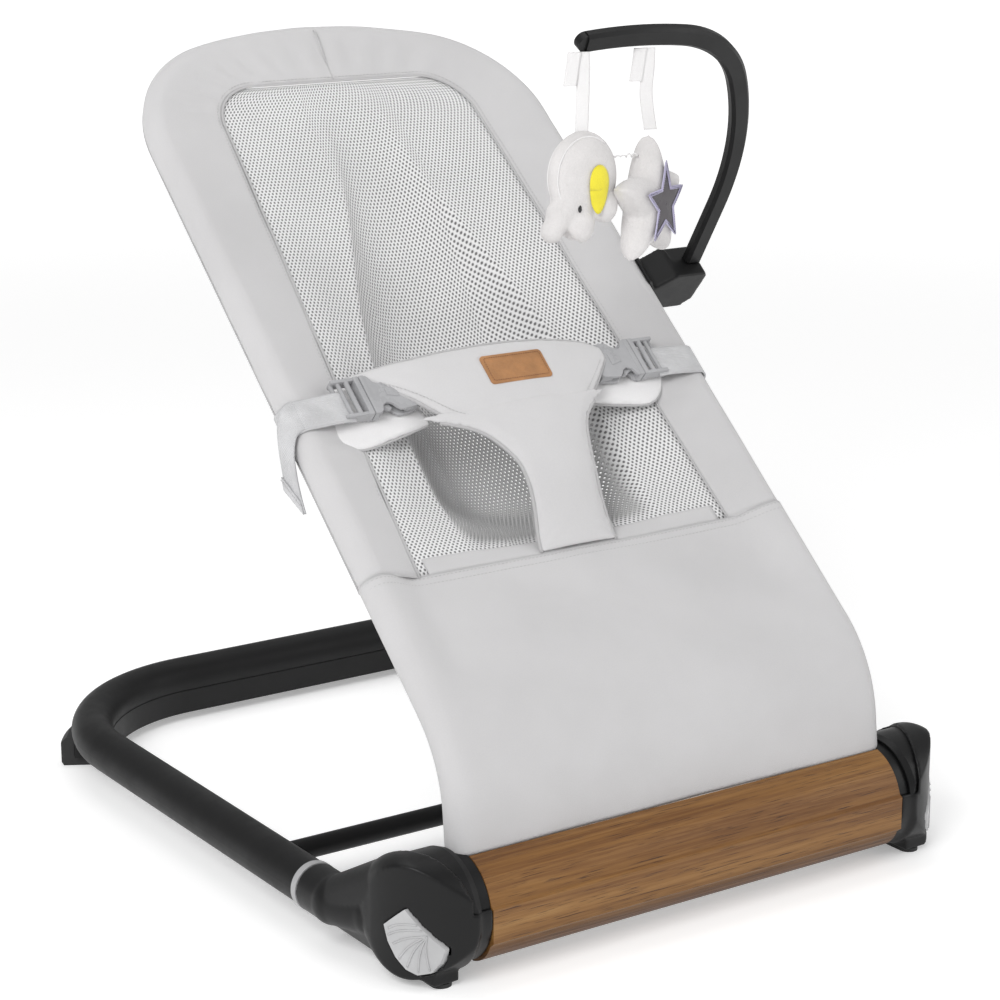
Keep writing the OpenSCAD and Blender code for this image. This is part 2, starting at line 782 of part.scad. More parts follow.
// One bend of the arm towards the middle, and what follows it
module arm_bend(radius, sweep) {
    arm_core();
    translate([-radius, 0, 0]) rotate([90, 0, 0]) rotate_extrude(angle = sweep, $fn = 128) translate([radius, 0]) arm_section();
    translate([-radius, 0, 0]) rotate([0, -sweep, 0]) translate([radius, 0, bend_gap]) children();
}

arm_rise = 58;
arm_bends = [[240, 33], [95, 51], [400, 13]];
module toy_arm() {
    color(black) on_arm() {
        translate([0, 0, 0.3]) linear_extrude(arm_rise - 0.3) arm_section();
        translate([0, 0, arm_rise + bend_gap])
            arm_bend(arm_bends[0][0], arm_bends[0][1])
            arm_bend(arm_bends[1][0], arm_bends[1][1])
            arm_bend(arm_bends[2][0], arm_bends[2][1])
            rotate([90, 0, 0]) cylinder(h = arm_t - 3, r = arm_w / 2 - 1, center = true);
        translate([-spigot[0] / 2, -spigot[1] / 2, -spigot[2]]) cube([spigot[0], spigot[1], spigot[2] + 0.5]);
    }
}

clip_len = 32;
module arm_clip() {
    x0 = rail_x_at(arm_s);
    x1 = arm_x + arm_w / 2 + 1.5;
    color(black) difference() {
        placed() on_seat(0, arm_s + clip_len / 2, 0) rotate([90, 0, 0]) linear_extrude(clip_len) difference() {
            union() {
                translate([x0, 0]) circle(r = web_r + 3.5);
                polygon([[x0, -web_r - 3.5], [x0 + 22, -26], [x1 - 9, -26], [x1, -17], [x1, arm_n - 4], [x1 - 3, arm_n],
                    [x0 + 34, arm_n], [x0 + 16, 2], [x0, web_r + 3.5]]);
            }
            translate([x0, 0]) circle(r = web_r);
            translate([x0 - 20, -3]) square([26, 30]);
        }
        on_arm() translate([-spigot[0] / 2 - 0.3, -spigot[1] / 2 - 0.3, -spigot[2] - 1]) cube(spigot + [0.6, 0.6, 20]);
        on_arm() translate([-20, -30, 0]) cube([40, 60, 20]);
    }
}

// Line that the toys' tapes hang from
arm_foot = seat_point(arm_x, arm_s, arm_n);
hang_h = 232.5;
hang_y = arm_foot[1] + hang_h * cos(arm_angle);
hang_z = arm_foot[2] + hang_h * sin(arm_angle);
tape_gap = 11;
toy_top = hang_z - tape_gap - tape_len;

module tape(x) {
    color("white") placed() translate([x - 5, hang_y - 0.7, toy_top + clear]) cube([10, 1.4, tape_len - clear]);
}

// Plush elephant: head, chest, rear and trunk as round lumps
head_r = 22;
module elephant() {
    color("white") placed() translate([elephant_x, hang_y, toy_top]) {
        translate([0, 0, -head_r]) sphere(r = head_r);
        translate([-10, -6, -49]) sphere(r = 20);
        translate([10, 6, -51]) sphere(r = 19);
        translate([-20, -12, -66]) sphere(r = 13);
    }
}

module elephant_tape() {
    tape(elephant_x);
}

star_r = 54;
star_t = 16;
star_turn = 28;
module star_outline(r) {
    polygon([for (i = [0 : 9]) let (q = i % 2 == 0 ? r : 0.47 * r) q * [cos(90 + 36 * i), sin(90 + 36 * i)]]);
}

module on_star() {
    placed() translate([star_x, hang_y, toy_top - star_r]) rotate([0, 0, star_turn]) rotate([90, 0, 0]) children();
}

module star() {
    color("white") on_star() linear_extrude(star_t, center = true) star_outline(star_r);
}

module star_patch() {
    color("#55515a") on_star() translate([0, -2, star_t / 2 + 0.1]) linear_extrude(0.8) star_outline(28);
}

module star_tape() {
    tape(star_x);
}

module toy_link() {
    color("white") placed() bar_x(elephant_x + head_r, star_x - 10.4, hang_y, toy_top - 18, 1);
}

left_side() side_tube();  // side_tube_l
side_tube();  // side_tube_r
rear_tube();
left_side() collar_ring();  // collar_ring_l
collar_ring();  // collar_ring_r
cross_rod();
left_side() hub_outer_shell();  // hub_outer_shell_l
hub_outer_shell();  // hub_outer_shell_r
left_side() hub_inner_shell();  // hub_inner_shell_l
hub_inner_shell();  // hub_inner_shell_r
pivot_tube();
left_side() pivot_bush();  // pivot_bush_l
pivot_bush();  // pivot_bush_r
wood_bar();
wood_bar_backing();
rear_shoe();
left_side() rear_foot();  // rear_foot_l
rear_foot();  // rear_foot_r
left_side() front_foot();  // front_foot_l
front_foot();  // front_foot_r
hub_screws();
left_side() button_spring();  // button_spring_l
button_spring();  // button_spring_r
left_side() release_button();  // release_button_l
release_button();  // release_button_r
left_side() seat_drum();  // seat_drum_l
seat_drum();  // seat_drum_r
left_side() lock_plate();  // lock_plate_l
lock_plate();  // lock_plate_r
lower_cross_tube();
seat_rail(-1);  // seat_rail_l
seat_rail(1);  // seat_rail_r
head_hoop();
front_panel();
mesh_panel();
seat_border();
waist_pad();
crotch_strip();
maker_patch();
left_side() bolster();  // bolster_l
bolster();  // bolster_r
left_side() webbing();  // webbing_l
webbing();  // webbing_r
left_side() webbing_tail();  // webbing_tail_l
left_side() buckle_socket();  // buckle_socket_l
buckle_socket();  // buckle_socket_r
left_side() buckle_plug();  // buckle_plug_l
buckle_plug();  // buckle_plug_r
arm_clip();
toy_arm();
elephant();
elephant_tape();
star();
star_patch();
star_tape();
toy_link();
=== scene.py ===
"""Looks of the bouncer seat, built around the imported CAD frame. Units are metres in the frame of the part."""

import json
import math

import bpy
import bmesh
from mathutils import Matrix, Vector, noise


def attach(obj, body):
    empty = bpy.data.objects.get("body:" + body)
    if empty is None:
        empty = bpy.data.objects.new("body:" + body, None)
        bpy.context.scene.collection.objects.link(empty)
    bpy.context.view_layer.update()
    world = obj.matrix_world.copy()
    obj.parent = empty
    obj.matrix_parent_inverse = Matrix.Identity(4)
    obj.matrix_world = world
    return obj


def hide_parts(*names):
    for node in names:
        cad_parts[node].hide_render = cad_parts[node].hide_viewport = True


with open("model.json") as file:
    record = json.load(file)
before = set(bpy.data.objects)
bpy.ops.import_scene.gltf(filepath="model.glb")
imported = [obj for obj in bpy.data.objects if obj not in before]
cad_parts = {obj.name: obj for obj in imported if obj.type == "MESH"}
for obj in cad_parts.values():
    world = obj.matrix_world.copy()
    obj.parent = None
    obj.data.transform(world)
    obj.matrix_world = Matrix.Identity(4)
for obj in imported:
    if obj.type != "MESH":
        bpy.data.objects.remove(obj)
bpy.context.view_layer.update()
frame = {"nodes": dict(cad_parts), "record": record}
joints = {j["name"]: j for j in frame["record"]["behaviour"]["joints"]}

# ---------------------------------------------------------------- dimensions, as in the part's source

HUB = Vector(joints["seat_recline"]["pos_m"])
SEAT_ANGLE = math.radians(41.5)
LEG_ANGLE = math.radians(84)
KNEE_TURN = LEG_ANGLE - SEAT_ANGLE
LEG_LEN = 0.100
KNEE_R = 0.100
KNEE_CUT = KNEE_R * math.tan(KNEE_TURN / 2)
LEG_END = LEG_LEN - KNEE_CUT
KNEE_END = LEG_END + KNEE_R * KNEE_TURN
RAIL_X = 0.1805
HEAD_X = 0.173
RAIL_R = 0.011
SEAT_LEN = 0.660
HOOP_TOP_R = 0.400
HOOP_CORNER_R = 0.092
HOOP_CORNER_X = HEAD_X - HOOP_CORNER_R
HOOP_TURN = math.asin(HOOP_CORNER_X / (HOOP_TOP_R - HOOP_CORNER_R))
HOOP_S = SEAT_LEN - HOOP_TOP_R + (HOOP_TOP_R - HOOP_CORNER_R) * math.cos(HOOP_TURN)
HUB_S = -LEG_LEN * math.cos(KNEE_TURN)
TAPER = (RAIL_X - HEAD_X) / (HOOP_S - HUB_S)
SEAM_S = 0.145
MESH_TOP = 0.611
MESH_CORNER_R = 0.042
BAND_S = 0.290
CLOTH_R = RAIL_R + 0.0014

KNEE = HUB + LEG_LEN * Vector((0, math.cos(LEG_ANGLE), math.sin(LEG_ANGLE)))
ALONG = Vector((0, math.cos(SEAT_ANGLE), math.sin(SEAT_ANGLE)))
UP = Vector((0, -math.sin(SEAT_ANGLE), math.cos(SEAT_ANGLE)))
ACROSS = Vector((1, 0, 0))
KNEE_CENTRE = (HUB + LEG_END * Vector((0, math.cos(LEG_ANGLE), math.sin(LEG_ANGLE)))
               + KNEE_R * Vector((0, math.sin(LEG_ANGLE), -math.cos(LEG_ANGLE))))


def smooth(t):
    t = min(1.0, max(0.0, t))
    return t * t * (3 - 2 * t)


def mix(a, b, t):
    return a + (b - a) * t


def rail_x_at(s):
    return RAIL_X - (s - HUB_S) * TAPER


def seat(x, s, n):
    """A point of the seat: x across, s along the seat from the knee, n above the rails."""
    return KNEE + x * ACROSS + s * ALONG + n * UP


def leg(x, p, n):
    """The same for the front panel: p runs up the leg from the hub and round the knee."""
    if p < LEG_END:
        a = LEG_ANGLE
        base = HUB + p * Vector((0, math.cos(a), math.sin(a)))
    elif p > KNEE_END:
        return seat(x, KNEE_CUT + p - KNEE_END, n)
    else:
        a = LEG_ANGLE - (p - LEG_END) / KNEE_R
        base = KNEE_CENTRE + KNEE_R * Vector((0, -math.sin(a), math.cos(a)))
    return base + x * ACROSS + n * Vector((0, -math.sin(a), math.cos(a)))


def ripple(x, y, size, seed=0.0):
    """Soft seeded unevenness between -1 and 1."""
    return noise.noise(Vector((x / size, y / size, seed)))


# ---------------------------------------------------------------- mesh helpers


def placed(name, mesh):
    """Object in the scene that shows a mesh, shaded smooth."""
    mesh.polygons.foreach_set("use_smooth", [True] * len(mesh.polygons))
    obj = bpy.data.objects.new(name, mesh)
    bpy.context.collection.objects.link(obj)
    return obj


def from_bmesh(name, bm):
    mesh = bpy.data.meshes.new(name)
    bm.to_mesh(mesh)
    bm.free()
    return placed(name, mesh)


def modify(obj, name, kind, **settings):
    """Add a modifier and set its values."""
    m = obj.modifiers.new(name, kind)
    for key, value in settings.items():
        setattr(m, key, value)
    return obj


def mesh_object(name, verts, faces, uvs=None):
    mesh = bpy.data.meshes.new(name)
    mesh.from_pydata([tuple(v) for v in verts], [], faces)
    mesh.update()
    if uvs is not None:
        layer = mesh.uv_layers.new(name="cloth")
        for loop in mesh.loops:
            layer.data[loop.index].uv = uvs[loop.vertex_index]
    return placed(name, mesh)


def grid(name, rows, thick, offset=-1.0):
    """Smooth surface over rows of points, with UVs in metres and some thickness."""
    nu, nv = len(rows), len(rows[0])
    verts = [p for row in rows for p in row]
    faces = []
    for i in range(nu - 1):
        for j in range(nv - 1):
            a = i * nv + j
            faces.append((a, a + 1, a + nv + 1, a + nv))
    middle = rows[nu // 2]
    u = [0.0]
    for j in range(1, nv):
        u.append(u[-1] + (middle[j] - middle[j - 1]).length)
    v = [0.0]
    for i in range(1, nu):
        v.append(v[-1] + (rows[i][nv // 2] - rows[i - 1][nv // 2]).length)
    obj = mesh_object(name, verts, faces, [(u[j], v[i]) for i in range(nu) for j in range(nv)])
    return modify(obj, "thickness", "SOLIDIFY", thickness=thick, offset=offset)


def tangent(points, i):
    return (points[min(i + 1, len(points) - 1)] - points[max(i - 1, 0)]).normalized()


def sweep(name, points, section, up):
    """A closed section of (side, normal) pairs drawn along a line of points, with both ends capped."""
    verts, faces = [], []
    n = Vector(up)
    for i, p in enumerate(points):
        t = tangent(points, i)
        n = (n - t * n.dot(t)).normalized()
        side = t.cross(n)
        verts += [p + a * side + b * n for a, b in section]
    k = len(section)
    for i in range(len(points) - 1):
        for j in range(k):
            a, b = i * k + j, i * k + (j + 1) % k
            faces.append((a, b, b + k, a + k))
    faces.append(tuple(range(k - 1, -1, -1)))
    faces.append(tuple(range((len(points) - 1) * k, len(points) * k)))
    return mesh_object(name, verts, faces)


def ring(r, sides, flat=1.0):
    turns = [2 * math.pi * j / sides for j in range(sides)]
    return [(r * math.cos(a), r * flat * math.sin(a)) for a in turns]


def ribbon(width, thick):
    """Section of a flat band with soft edges."""
    w, t = width / 2, thick / 2
    e = t * 0.9
    return [(-w, -t * 0.3), (-w + e, -t), (-w / 2, -t), (0, -t), (w / 2, -t), (w - e, -t), (w, -t * 0.3),
            (w, t * 0.3), (w - e, t), (w / 2, t), (0, t), (-w / 2, t), (-w + e, t), (-w, t * 0.3)]


def curve_points(knots, count):
    """Catmull-Rom line through the knots."""
    out = []
    for i in range(count):
        f = i / (count - 1) * (len(knots) - 1)
        k = min(int(f), len(knots) - 2)
        t = f - k
        p0, p1 = knots[max(k - 1, 0)], knots[k]
        p2, p3 = knots[k + 1], knots[min(k + 2, len(knots) - 1)]
        out.append(0.5 * ((2 * p1) + (p2 - p0) * t + (2 * p0 - 5 * p1 + 4 * p2 - p3) * t * t
                          + (3 * p1 - p0 - 3 * p2 + p3) * t ** 3))
    return out


def resample(points, step):
    """Points at even steps along a line."""
    out, carry = [points[0]], 0.0
    for a, b in zip(points, points[1:]):
        length = (b - a).length
        d = step - carry
        while d <= length:
            out.append(a.lerp(b, d / length))
            d += step
        carry = length - (d - step)
    return out


def band_rows(path, wide, count):
    """Rows of points across a strap or tape. wide is its width as a vector."""
    return [[p + wide * (j / count - 0.5) for j in range(count + 1)] for p in path]


def stitches(name, points, up, pitch=0.0034, length=0.0024, r=0.00032):
    """A row of thread stitches that lie along a line."""
    mids = resample(points, pitch)
    verts, faces = [], []
    for i, p in enumerate(mids):
        t = tangent(mids, i)
        n = (up - t * up.dot(t)).normalized()
        side = t.cross(n)
        base = len(verts)
        for d, k, lift in ((-0.5, 0.35, 0.0), (-0.32, 1.0, 0.9), (0.32, 1.0, 0.9), (0.5, 0.35, 0.0)):
            for a, b in ring(k * r, 5):
                verts.append(p + d * length * t + a * side + b * n + lift * r * n)
        for q in range(base, base + 15, 5):
            for a in range(5):
                b = (a + 1) % 5
                faces.append((q + a, q + b, q + 5 + b, q + 5 + a))
        faces.append(tuple(base + a for a in range(4, -1, -1)))
        faces.append(tuple(base + 15 + a for a in range(5)))
    return mesh_object(name, verts, faces)


def smooth_by_angle(obj, degrees=50):
    """Sharp edges stay crisp on flat-sided pieces."""
    bm = bmesh.new()
    bm.from_mesh(obj.data)
    for e in bm.edges:
        if len(e.link_faces) == 2 and e.calc_face_angle() > math.radians(degrees):
            e.smooth = False
    bm.to_mesh(obj.data)
    bm.free()
    return obj


def join(name, objs):
    """One object from several."""
    bm = bmesh.new()
    for o in objs:
        bm.from_mesh(o.data)
        bpy.data.objects.remove(o)
    return from_bmesh(name, bm)


def slab(name, outline, low, high, bevel, place):
    """Flat moulded plate with rounded edges. outline is (x, y); place turns (x, y, z) into a point."""
    n = len(outline)
    faces = [range(n - 1, -1, -1), range(n, 2 * n)]
    faces += [(i, (i + 1) % n, n + (i + 1) % n, n + i) for i in range(n)]
    bm = bmesh.new()
    vs = [bm.verts.new((x, y, z)) for z in (low, high) for x, y in outline]
    for f in faces:
        bm.faces.new([vs[i] for i in f])
    bmesh.ops.recalc_face_normals(bm, faces=bm.faces)
    bmesh.ops.bevel(bm, geom=list(bm.edges), offset=bevel, segments=2, profile=0.6, affect="EDGES")
    for v in bm.verts:
        v.co = place(*v.co)
    bmesh.ops.recalc_face_normals(bm, faces=bm.faces)
    return smooth_by_angle(from_bmesh(name, bm))


def box_outline(x0, x1, y0, y1):
    return [(x0, y0), (x1, y0), (x1, y1), (x0, y1)]


def applied(obj):
    """The object with its modifiers applied."""
    deps = bpy.context.evaluated_depsgraph_get()
    mesh = bpy.data.meshes.new_from_object(obj.evaluated_get(deps))
    obj.modifiers.clear()
    old = obj.data
    obj.data = mesh
    bpy.data.meshes.remove(old)
    obj.data.polygons.foreach_set("use_smooth", [True] * len(obj.data.polygons))
    return obj


def remesh(obj, voxel):
    return applied(modify(obj, "remesh", "REMESH", mode="VOXEL", voxel_size=voxel))


def subdivide(obj):
    return applied(modify(obj, "subdivide", "SUBSURF", levels=1, render_levels=1))


def weld(obj):
    """Close the seams of a piece and turn its faces outwards."""
    bm = bmesh.new()
    bm.from_mesh(obj.data)
    bmesh.ops.remove_doubles(bm, verts=bm.verts, dist=1e-5)
    bmesh.ops.recalc_face_normals(bm, faces=bm.faces)
    bm.to_mesh(obj.data)
    bm.free()


PUFF_FRAMES = 20


def puff(obj, voxel, pressure, cap):
    """Fill a sewn piece: remesh, let cloth pressure swell it, cap the movement, then subdivide once."""
    weld(obj)
    remesh(obj, voxel)
    start = [v.co.copy() for v in obj.data.vertices]
    cloth = obj.modifiers.new("cloth", "CLOTH")
    cloth.settings.quality = 4
    cloth.settings.use_pressure = True
    cloth.settings.uniform_pressure_force = pressure
    cloth.settings.effector_weights.gravity = 0
    cloth.settings.tension_stiffness = 30
    cloth.settings.compression_stiffness = 20
    cloth.settings.bending_stiffness = 0.4
    cloth.point_cache.frame_start = 1
    cloth.point_cache.frame_end = PUFF_FRAMES
    for f in range(1, PUFF_FRAMES + 1):
        bpy.context.scene.frame_set(f)
    applied(obj)
    for v, before in zip(obj.data.vertices, start):
        move = v.co - before
        if move.length > cap:
            v.co = before + move.normalized() * cap
    bpy.context.scene.frame_set(1)
    return subdivide(obj)


# ---------------------------------------------------------------- material helpers


class Shader:
    """A Principled material and short ways to feed it."""

    def __init__(self, name, color, rough, **sockets):
        self.mat = bpy.data.materials.new(name)
        self.mat.use_nodes = True
        self.tree = self.mat.node_tree
        self.bsdf = self.tree.nodes["Principled BSDF"]
        self.bsdf.inputs["Base Color"].default_value = (*color, 1)
        self.bsdf.inputs["Roughness"].default_value = rough
        self.mat.diffuse_color = (*color, 1)
        for key, value in sockets.items():
            self.bsdf.inputs[key.replace("_", " ")].default_value = value

    def node(self, kind, **settings):
        n = self.tree.nodes.new(kind)
        for key, value in settings.items():
            setattr(n, key, value)
        return n

    def feed(self, socket, value):
        if isinstance(value, bpy.types.NodeSocket):
            self.tree.links.new(value, socket)
        else:
            socket.default_value = value

    def math(self, op, a, b=0.0):
        n = self.node("ShaderNodeMath", operation=op)
        for socket, value in zip(n.inputs, (a, b)):
            self.feed(socket, value)
        return n.outputs[0]

    def times(self, a, b):
        return self.math("MULTIPLY", a, b)

    def plus(self, a, b):
        return self.math("ADD", a, b)

    def wave(self, a, length):
        """Sine wave with a given length along a coordinate."""
        return self.math("SINE", self.times(a, 2 * math.pi / length))

    def place(self, kind="Object", scale=(1, 1, 1)):
        n = self.node("ShaderNodeMapping")
        self.tree.links.new(self.node("ShaderNodeTexCoord").outputs[kind], n.inputs["Vector"])
        n.inputs["Scale"].default_value = scale
        return n.outputs[0]

    def split(self, vector):
        n = self.node("ShaderNodeSeparateXYZ")
        self.tree.links.new(vector, n.inputs[0])
        return n.outputs

    def noise(self, vector, scale, detail=3.0, rough=0.5, distortion=0.0):
        n = self.node("ShaderNodeTexNoise")
        self.tree.links.new(vector, n.inputs["Vector"])
        n.inputs["Scale"].default_value = scale
        n.inputs["Detail"].default_value = detail
        n.inputs["Roughness"].default_value = rough
        n.inputs["Distortion"].default_value = distortion
        return n.outputs["Fac"]

    def ramp(self, value, stops):
        n = self.node("ShaderNodeValToRGB")
        self.feed(n.inputs[0], value)
        while len(n.color_ramp.elements) < len(stops):
            n.color_ramp.elements.new(0.5)
        for element, (place, color) in zip(n.color_ramp.elements, stops):
            element.position = place
            element.color = (*color, 1)
        return n.outputs[0]

    def between(self, value, low, high, out_low, out_high):
        n = self.node("ShaderNodeMapRange", interpolation_type="SMOOTHSTEP")
        self.feed(n.inputs["Value"], value)
        for key, number in zip(("From Min", "From Max", "To Min", "To Max"), (low, high, out_low, out_high)):
            n.inputs[key].default_value = number
        return n.outputs[0]

    def color(self, output):
        self.tree.links.new(output, self.bsdf.inputs["Base Color"])

    def tones(self, value, color, dark, light):
        """Base colour from a value, between two (place, shade) pairs of one colour."""
        self.color(self.ramp(value, [(place, shade(color, k)) for place, k in (dark, light)]))

    def rough(self, output):
        self.tree.links.new(output, self.bsdf.inputs["Roughness"])

    def blend(self, kind, amount, a, b):
        n = self.node("ShaderNodeMixRGB", blend_type=kind)
        for socket, value in zip(n.inputs, (amount, a, b)):
            self.feed(socket, value)
        return n.outputs[0]

    def bump(self, heights, distance):
        """heights: (output, strength) pairs, one bump after another."""
        last = None
        for height, strength in heights:
            n = self.node("ShaderNodeBump")
            n.inputs["Strength"].default_value = strength
            n.inputs["Distance"].default_value = distance
            self.tree.links.new(height, n.inputs["Height"])
            if last is not None:
                self.tree.links.new(last, n.inputs["Normal"])
            last = n.outputs[0]
        self.tree.links.new(last, self.bsdf.inputs["Normal"])
        return self


def shade(color, k):
    return tuple(min(1.0, c * k) for c in color)


def cloth_material(name, color, kind, weave, depth, fold):
    """Plain weave in two thread directions, with faint tone changes and soft folds."""
    s = Shader(name, color, 0.82, Sheen_Weight=0.25, Sheen_Roughness=0.5, Specular_IOR_Level=0.25)
    x, y, z = s.split(s.place(kind))
    if kind == "Object":
        y = s.plus(y, z)
    threads = s.times(s.wave(x, weave), s.wave(y, weave))
    tone = s.noise(s.place("Object"), 9, 4, 0.55)
    fibre = s.noise(s.place(kind), 900, 2, 0.6)
    s.tones(s.plus(s.times(tone, 0.7), s.times(fibre, 0.3)), color, (0.3, 0.94), (0.7, 1.05))
    folds = s.noise(s.place("Object"), 14, 2, 0.4)
    s.bump([(folds, fold), (threads, depth)], 0.0006)
    return s.mat


def mesh_material(name, color):
    """Air mesh: staggered long holes, painted dark as painted shade of the knit's inside, which open right through
    in the deep pocket, where the threads are darkened as painted shade.
    """
    s = Shader(name, color, 0.75, Sheen_Weight=0.3, Specular_IOR_Level=0.3)
    pitch_u, pitch_v = 0.0034, 0.0030
    hole_u, hole_v = 0.21, 0.36
    u, v, _ = s.split(s.place("UV"))
    cell = s.math("DIVIDE", v, pitch_v)
    row = s.math("FLOOR", cell)
    shift = s.times(s.math("MODULO", row, 2.0), 0.5)
    across = s.math("SUBTRACT", s.math("FRACT", s.plus(s.math("DIVIDE", u, pitch_u), shift)), 0.5)
    along = s.math("SUBTRACT", s.math("FRACT", cell), 0.5)
    reach = s.math("SQRT", s.plus(s.math("POWER", s.math("DIVIDE", across, hole_u), 2.0),
                                  s.math("POWER", s.math("DIVIDE", along, hole_v), 2.0)))
    solid = s.between(reach, 0.80, 1.10, 0.0, 1.0)
    deep = s.node("ShaderNodeAttribute", attribute_name="open").outputs["Fac"]
    see_through = s.times(deep, s.math("SUBTRACT", 1.0, solid))
    s.feed(s.bsdf.inputs["Alpha"], s.math("SUBTRACT", 1.0, see_through))
    tone = s.noise(s.place("Object"), 12, 3)
    knit = s.times(s.between(reach, 0.9, 1.9, 0.80, 1.0), s.between(tone, 0.3, 0.7, 0.95, 1.0))
    # Painted shade: the holes are coloured dark and the threads in the deep pocket are darkened; the threads also
    # get darker towards each hole and vary a little in tone.
    knit_and_painted_shade = s.times(s.times(knit, s.between(solid, 0.0, 1.0, 0.24, 1.0)), s.between(deep, 0.0, 1.0, 1.0, 0.56))
    s.color(s.ramp(knit_and_painted_shade, [(0.0, (0.0, 0.0, 0.0)), (1.0, color)]))
    fibre = s.noise(s.place("UV"), 1400, 2)
    s.bump([(s.between(reach, 0.8, 1.7, 0.0, 1.0), 0.7), (fibre, 0.2)], 0.0008)
    return s.mat


def webbing_material(name, color):
    """Ribbed woven strap with a firm edge."""
    s = Shader(name, color, 0.55, Sheen_Weight=0.3, Specular_IOR_Level=0.45)
    where = s.place("Object")
    x, y, z = s.split(where)
    run = s.plus(s.times(y, math.cos(SEAT_ANGLE)), s.times(z, math.sin(SEAT_ANGLE)))
    ribs = s.wave(run, 0.0016)
    cross = s.wave(x, 0.0011)
    s.tones(s.noise(where, 60, 3), color, (0.35, 0.9), (0.65, 1.06))
    s.bump([(ribs, 0.4), (cross, 0.25)], 0.0004)
    return s.mat


def plastic_material(name, color, rough, grain, strength, shine=0.5):
    """Moulded plastic or paint with fine grain and slight handling marks in the gloss."""
    s = Shader(name, color, rough, Specular_IOR_Level=shine)
    spread = 0.06
    where = s.place("Object")
    fine = s.noise(where, grain, 2, 0.6)
    marks = s.noise(where, 28, 5, 0.65)
    s.rough(s.between(marks, 0.3, 0.75, rough - spread, rough + spread))
    s.tones(marks, color, (0.3, 0.92), (0.7, 1.1))
    s.bump([(fine, strength)], 0.0003)
    return s.mat


def wood_material(name):
    """Oiled oak: long grain along X, darker pores, slow bands of tone, and painted shade that darkens the bar
    towards its bottom.
    """
    s = Shader(name, (0.18, 0.08, 0.03), 0.5, Coat_Weight=0.05, Coat_Roughness=0.4, Specular_IOR_Level=0.35)
    wide = s.noise(s.place("Object", (1.6, 34, 34)), 1.0, 4, 0.6, 0.6)
    grain = s.noise(s.place("Object", (11, 520, 520)), 1.0, 4, 0.65, 0.3)
    pores = s.noise(s.place("Object", (34, 1300, 1300)), 1.0, 2, 0.6)
    cathedral = s.noise(s.place("Object", (3.2, 90, 90)), 1.0, 3, 0.55, 1.2)
    tone = s.plus(s.plus(s.times(wide, 0.42), s.times(cathedral, 0.26)), s.times(grain, 0.32))
    base = s.ramp(tone, [(0.33, (0.090, 0.034, 0.007)), (0.44, (0.150, 0.062, 0.015)),
                         (0.53, (0.218, 0.101, 0.026)), (0.62, (0.280, 0.143, 0.043)),
                         (0.72, (0.345, 0.196, 0.068))])
    dark = s.between(pores, 0.30, 0.42, 0.0, 1.0)
    pored = s.blend("MIX", dark, (0.056, 0.021, 0.007, 1), base)
    height = s.split(s.place("Object"))[2]
    # Painted shade: the colour gets darker from 40 mm down to 20 mm above the floor.
    foot = s.ramp(s.between(height, 0.020, 0.040, 0.0, 1.0), [(0.0, (0.60, 0.56, 0.45)), (1.0, (1, 1, 1))])
    s.color(s.blend("MULTIPLY", 1.0, pored, foot))
    s.rough(s.between(grain, 0.3, 0.7, 0.55, 0.42))
    s.bump([(grain, 0.35), (dark, 0.25)], 0.0005)
    return s.mat


def leather_material(name, color):
    s = Shader(name, color, 0.48, Specular_IOR_Level=0.5, Coat_Weight=0.1, Coat_Roughness=0.4)
    where = s.place("Object")
    cells = s.node("ShaderNodeTexVoronoi", feature="DISTANCE_TO_EDGE")
    s.feed(cells.inputs["Vector"], where)
    cells.inputs["Scale"].default_value = 900
    pebble = s.between(cells.outputs["Distance"], 0.0, 0.35, 0.0, 1.0)
    tone = s.noise(where, 90, 4, 0.6)
    s.tones(tone, color, (0.3, 0.8), (0.7, 1.15))
    s.bump([(tone, 0.3), (pebble, 0.45)], 0.0004)
    return s.mat


def plush_material(name, color, fur):
    s = Shader(name, color, 0.95, Sheen_Weight=0.6, Sheen_Roughness=0.35, Specular_IOR_Level=0.1)
    where = s.place("Object")
    nap = s.noise(where, fur, 3, 0.7)
    patches = s.noise(where, 60, 3, 0.5)
    s.tones(s.plus(s.times(nap, 0.45), s.times(patches, 0.55)), color, (0.3, 0.9), (0.65, 1.04))
    s.bump([(patches, 0.25), (nap, 0.6)], 0.0009)
    return s.mat


def foil_material(name, color):
    """Soft mirror foil of the star patch, with faint creases."""
    s = Shader(name, color, 0.22, Metallic=0.85, Specular_IOR_Level=0.5)
    where = s.place("Object")
    crease = s.noise(where, 55, 4, 0.6)
    s.tones(crease, color, (0.35, 0.85), (0.7, 1.2))
    s.rough(s.between(crease, 0.3, 0.7, 0.2, 0.42))
    s.bump([(crease, 0.4)], 0.0008)
    return s.mat


def steel_material(name):
    s = Shader(name, (0.56, 0.56, 0.57), 0.32, Metallic=1.0)
    where = s.place("Object", (1, 9, 9))
    brushed = s.noise(where, 160, 3, 0.6)
    s.rough(s.between(brushed, 0.3, 0.7, 0.26, 0.42))
    s.color(s.ramp(brushed, [(0.3, (0.5, 0.5, 0.51)), (0.7, (0.62, 0.62, 0.63))]))
    s.bump([(brushed, 0.12)], 0.0003)
    return s.mat


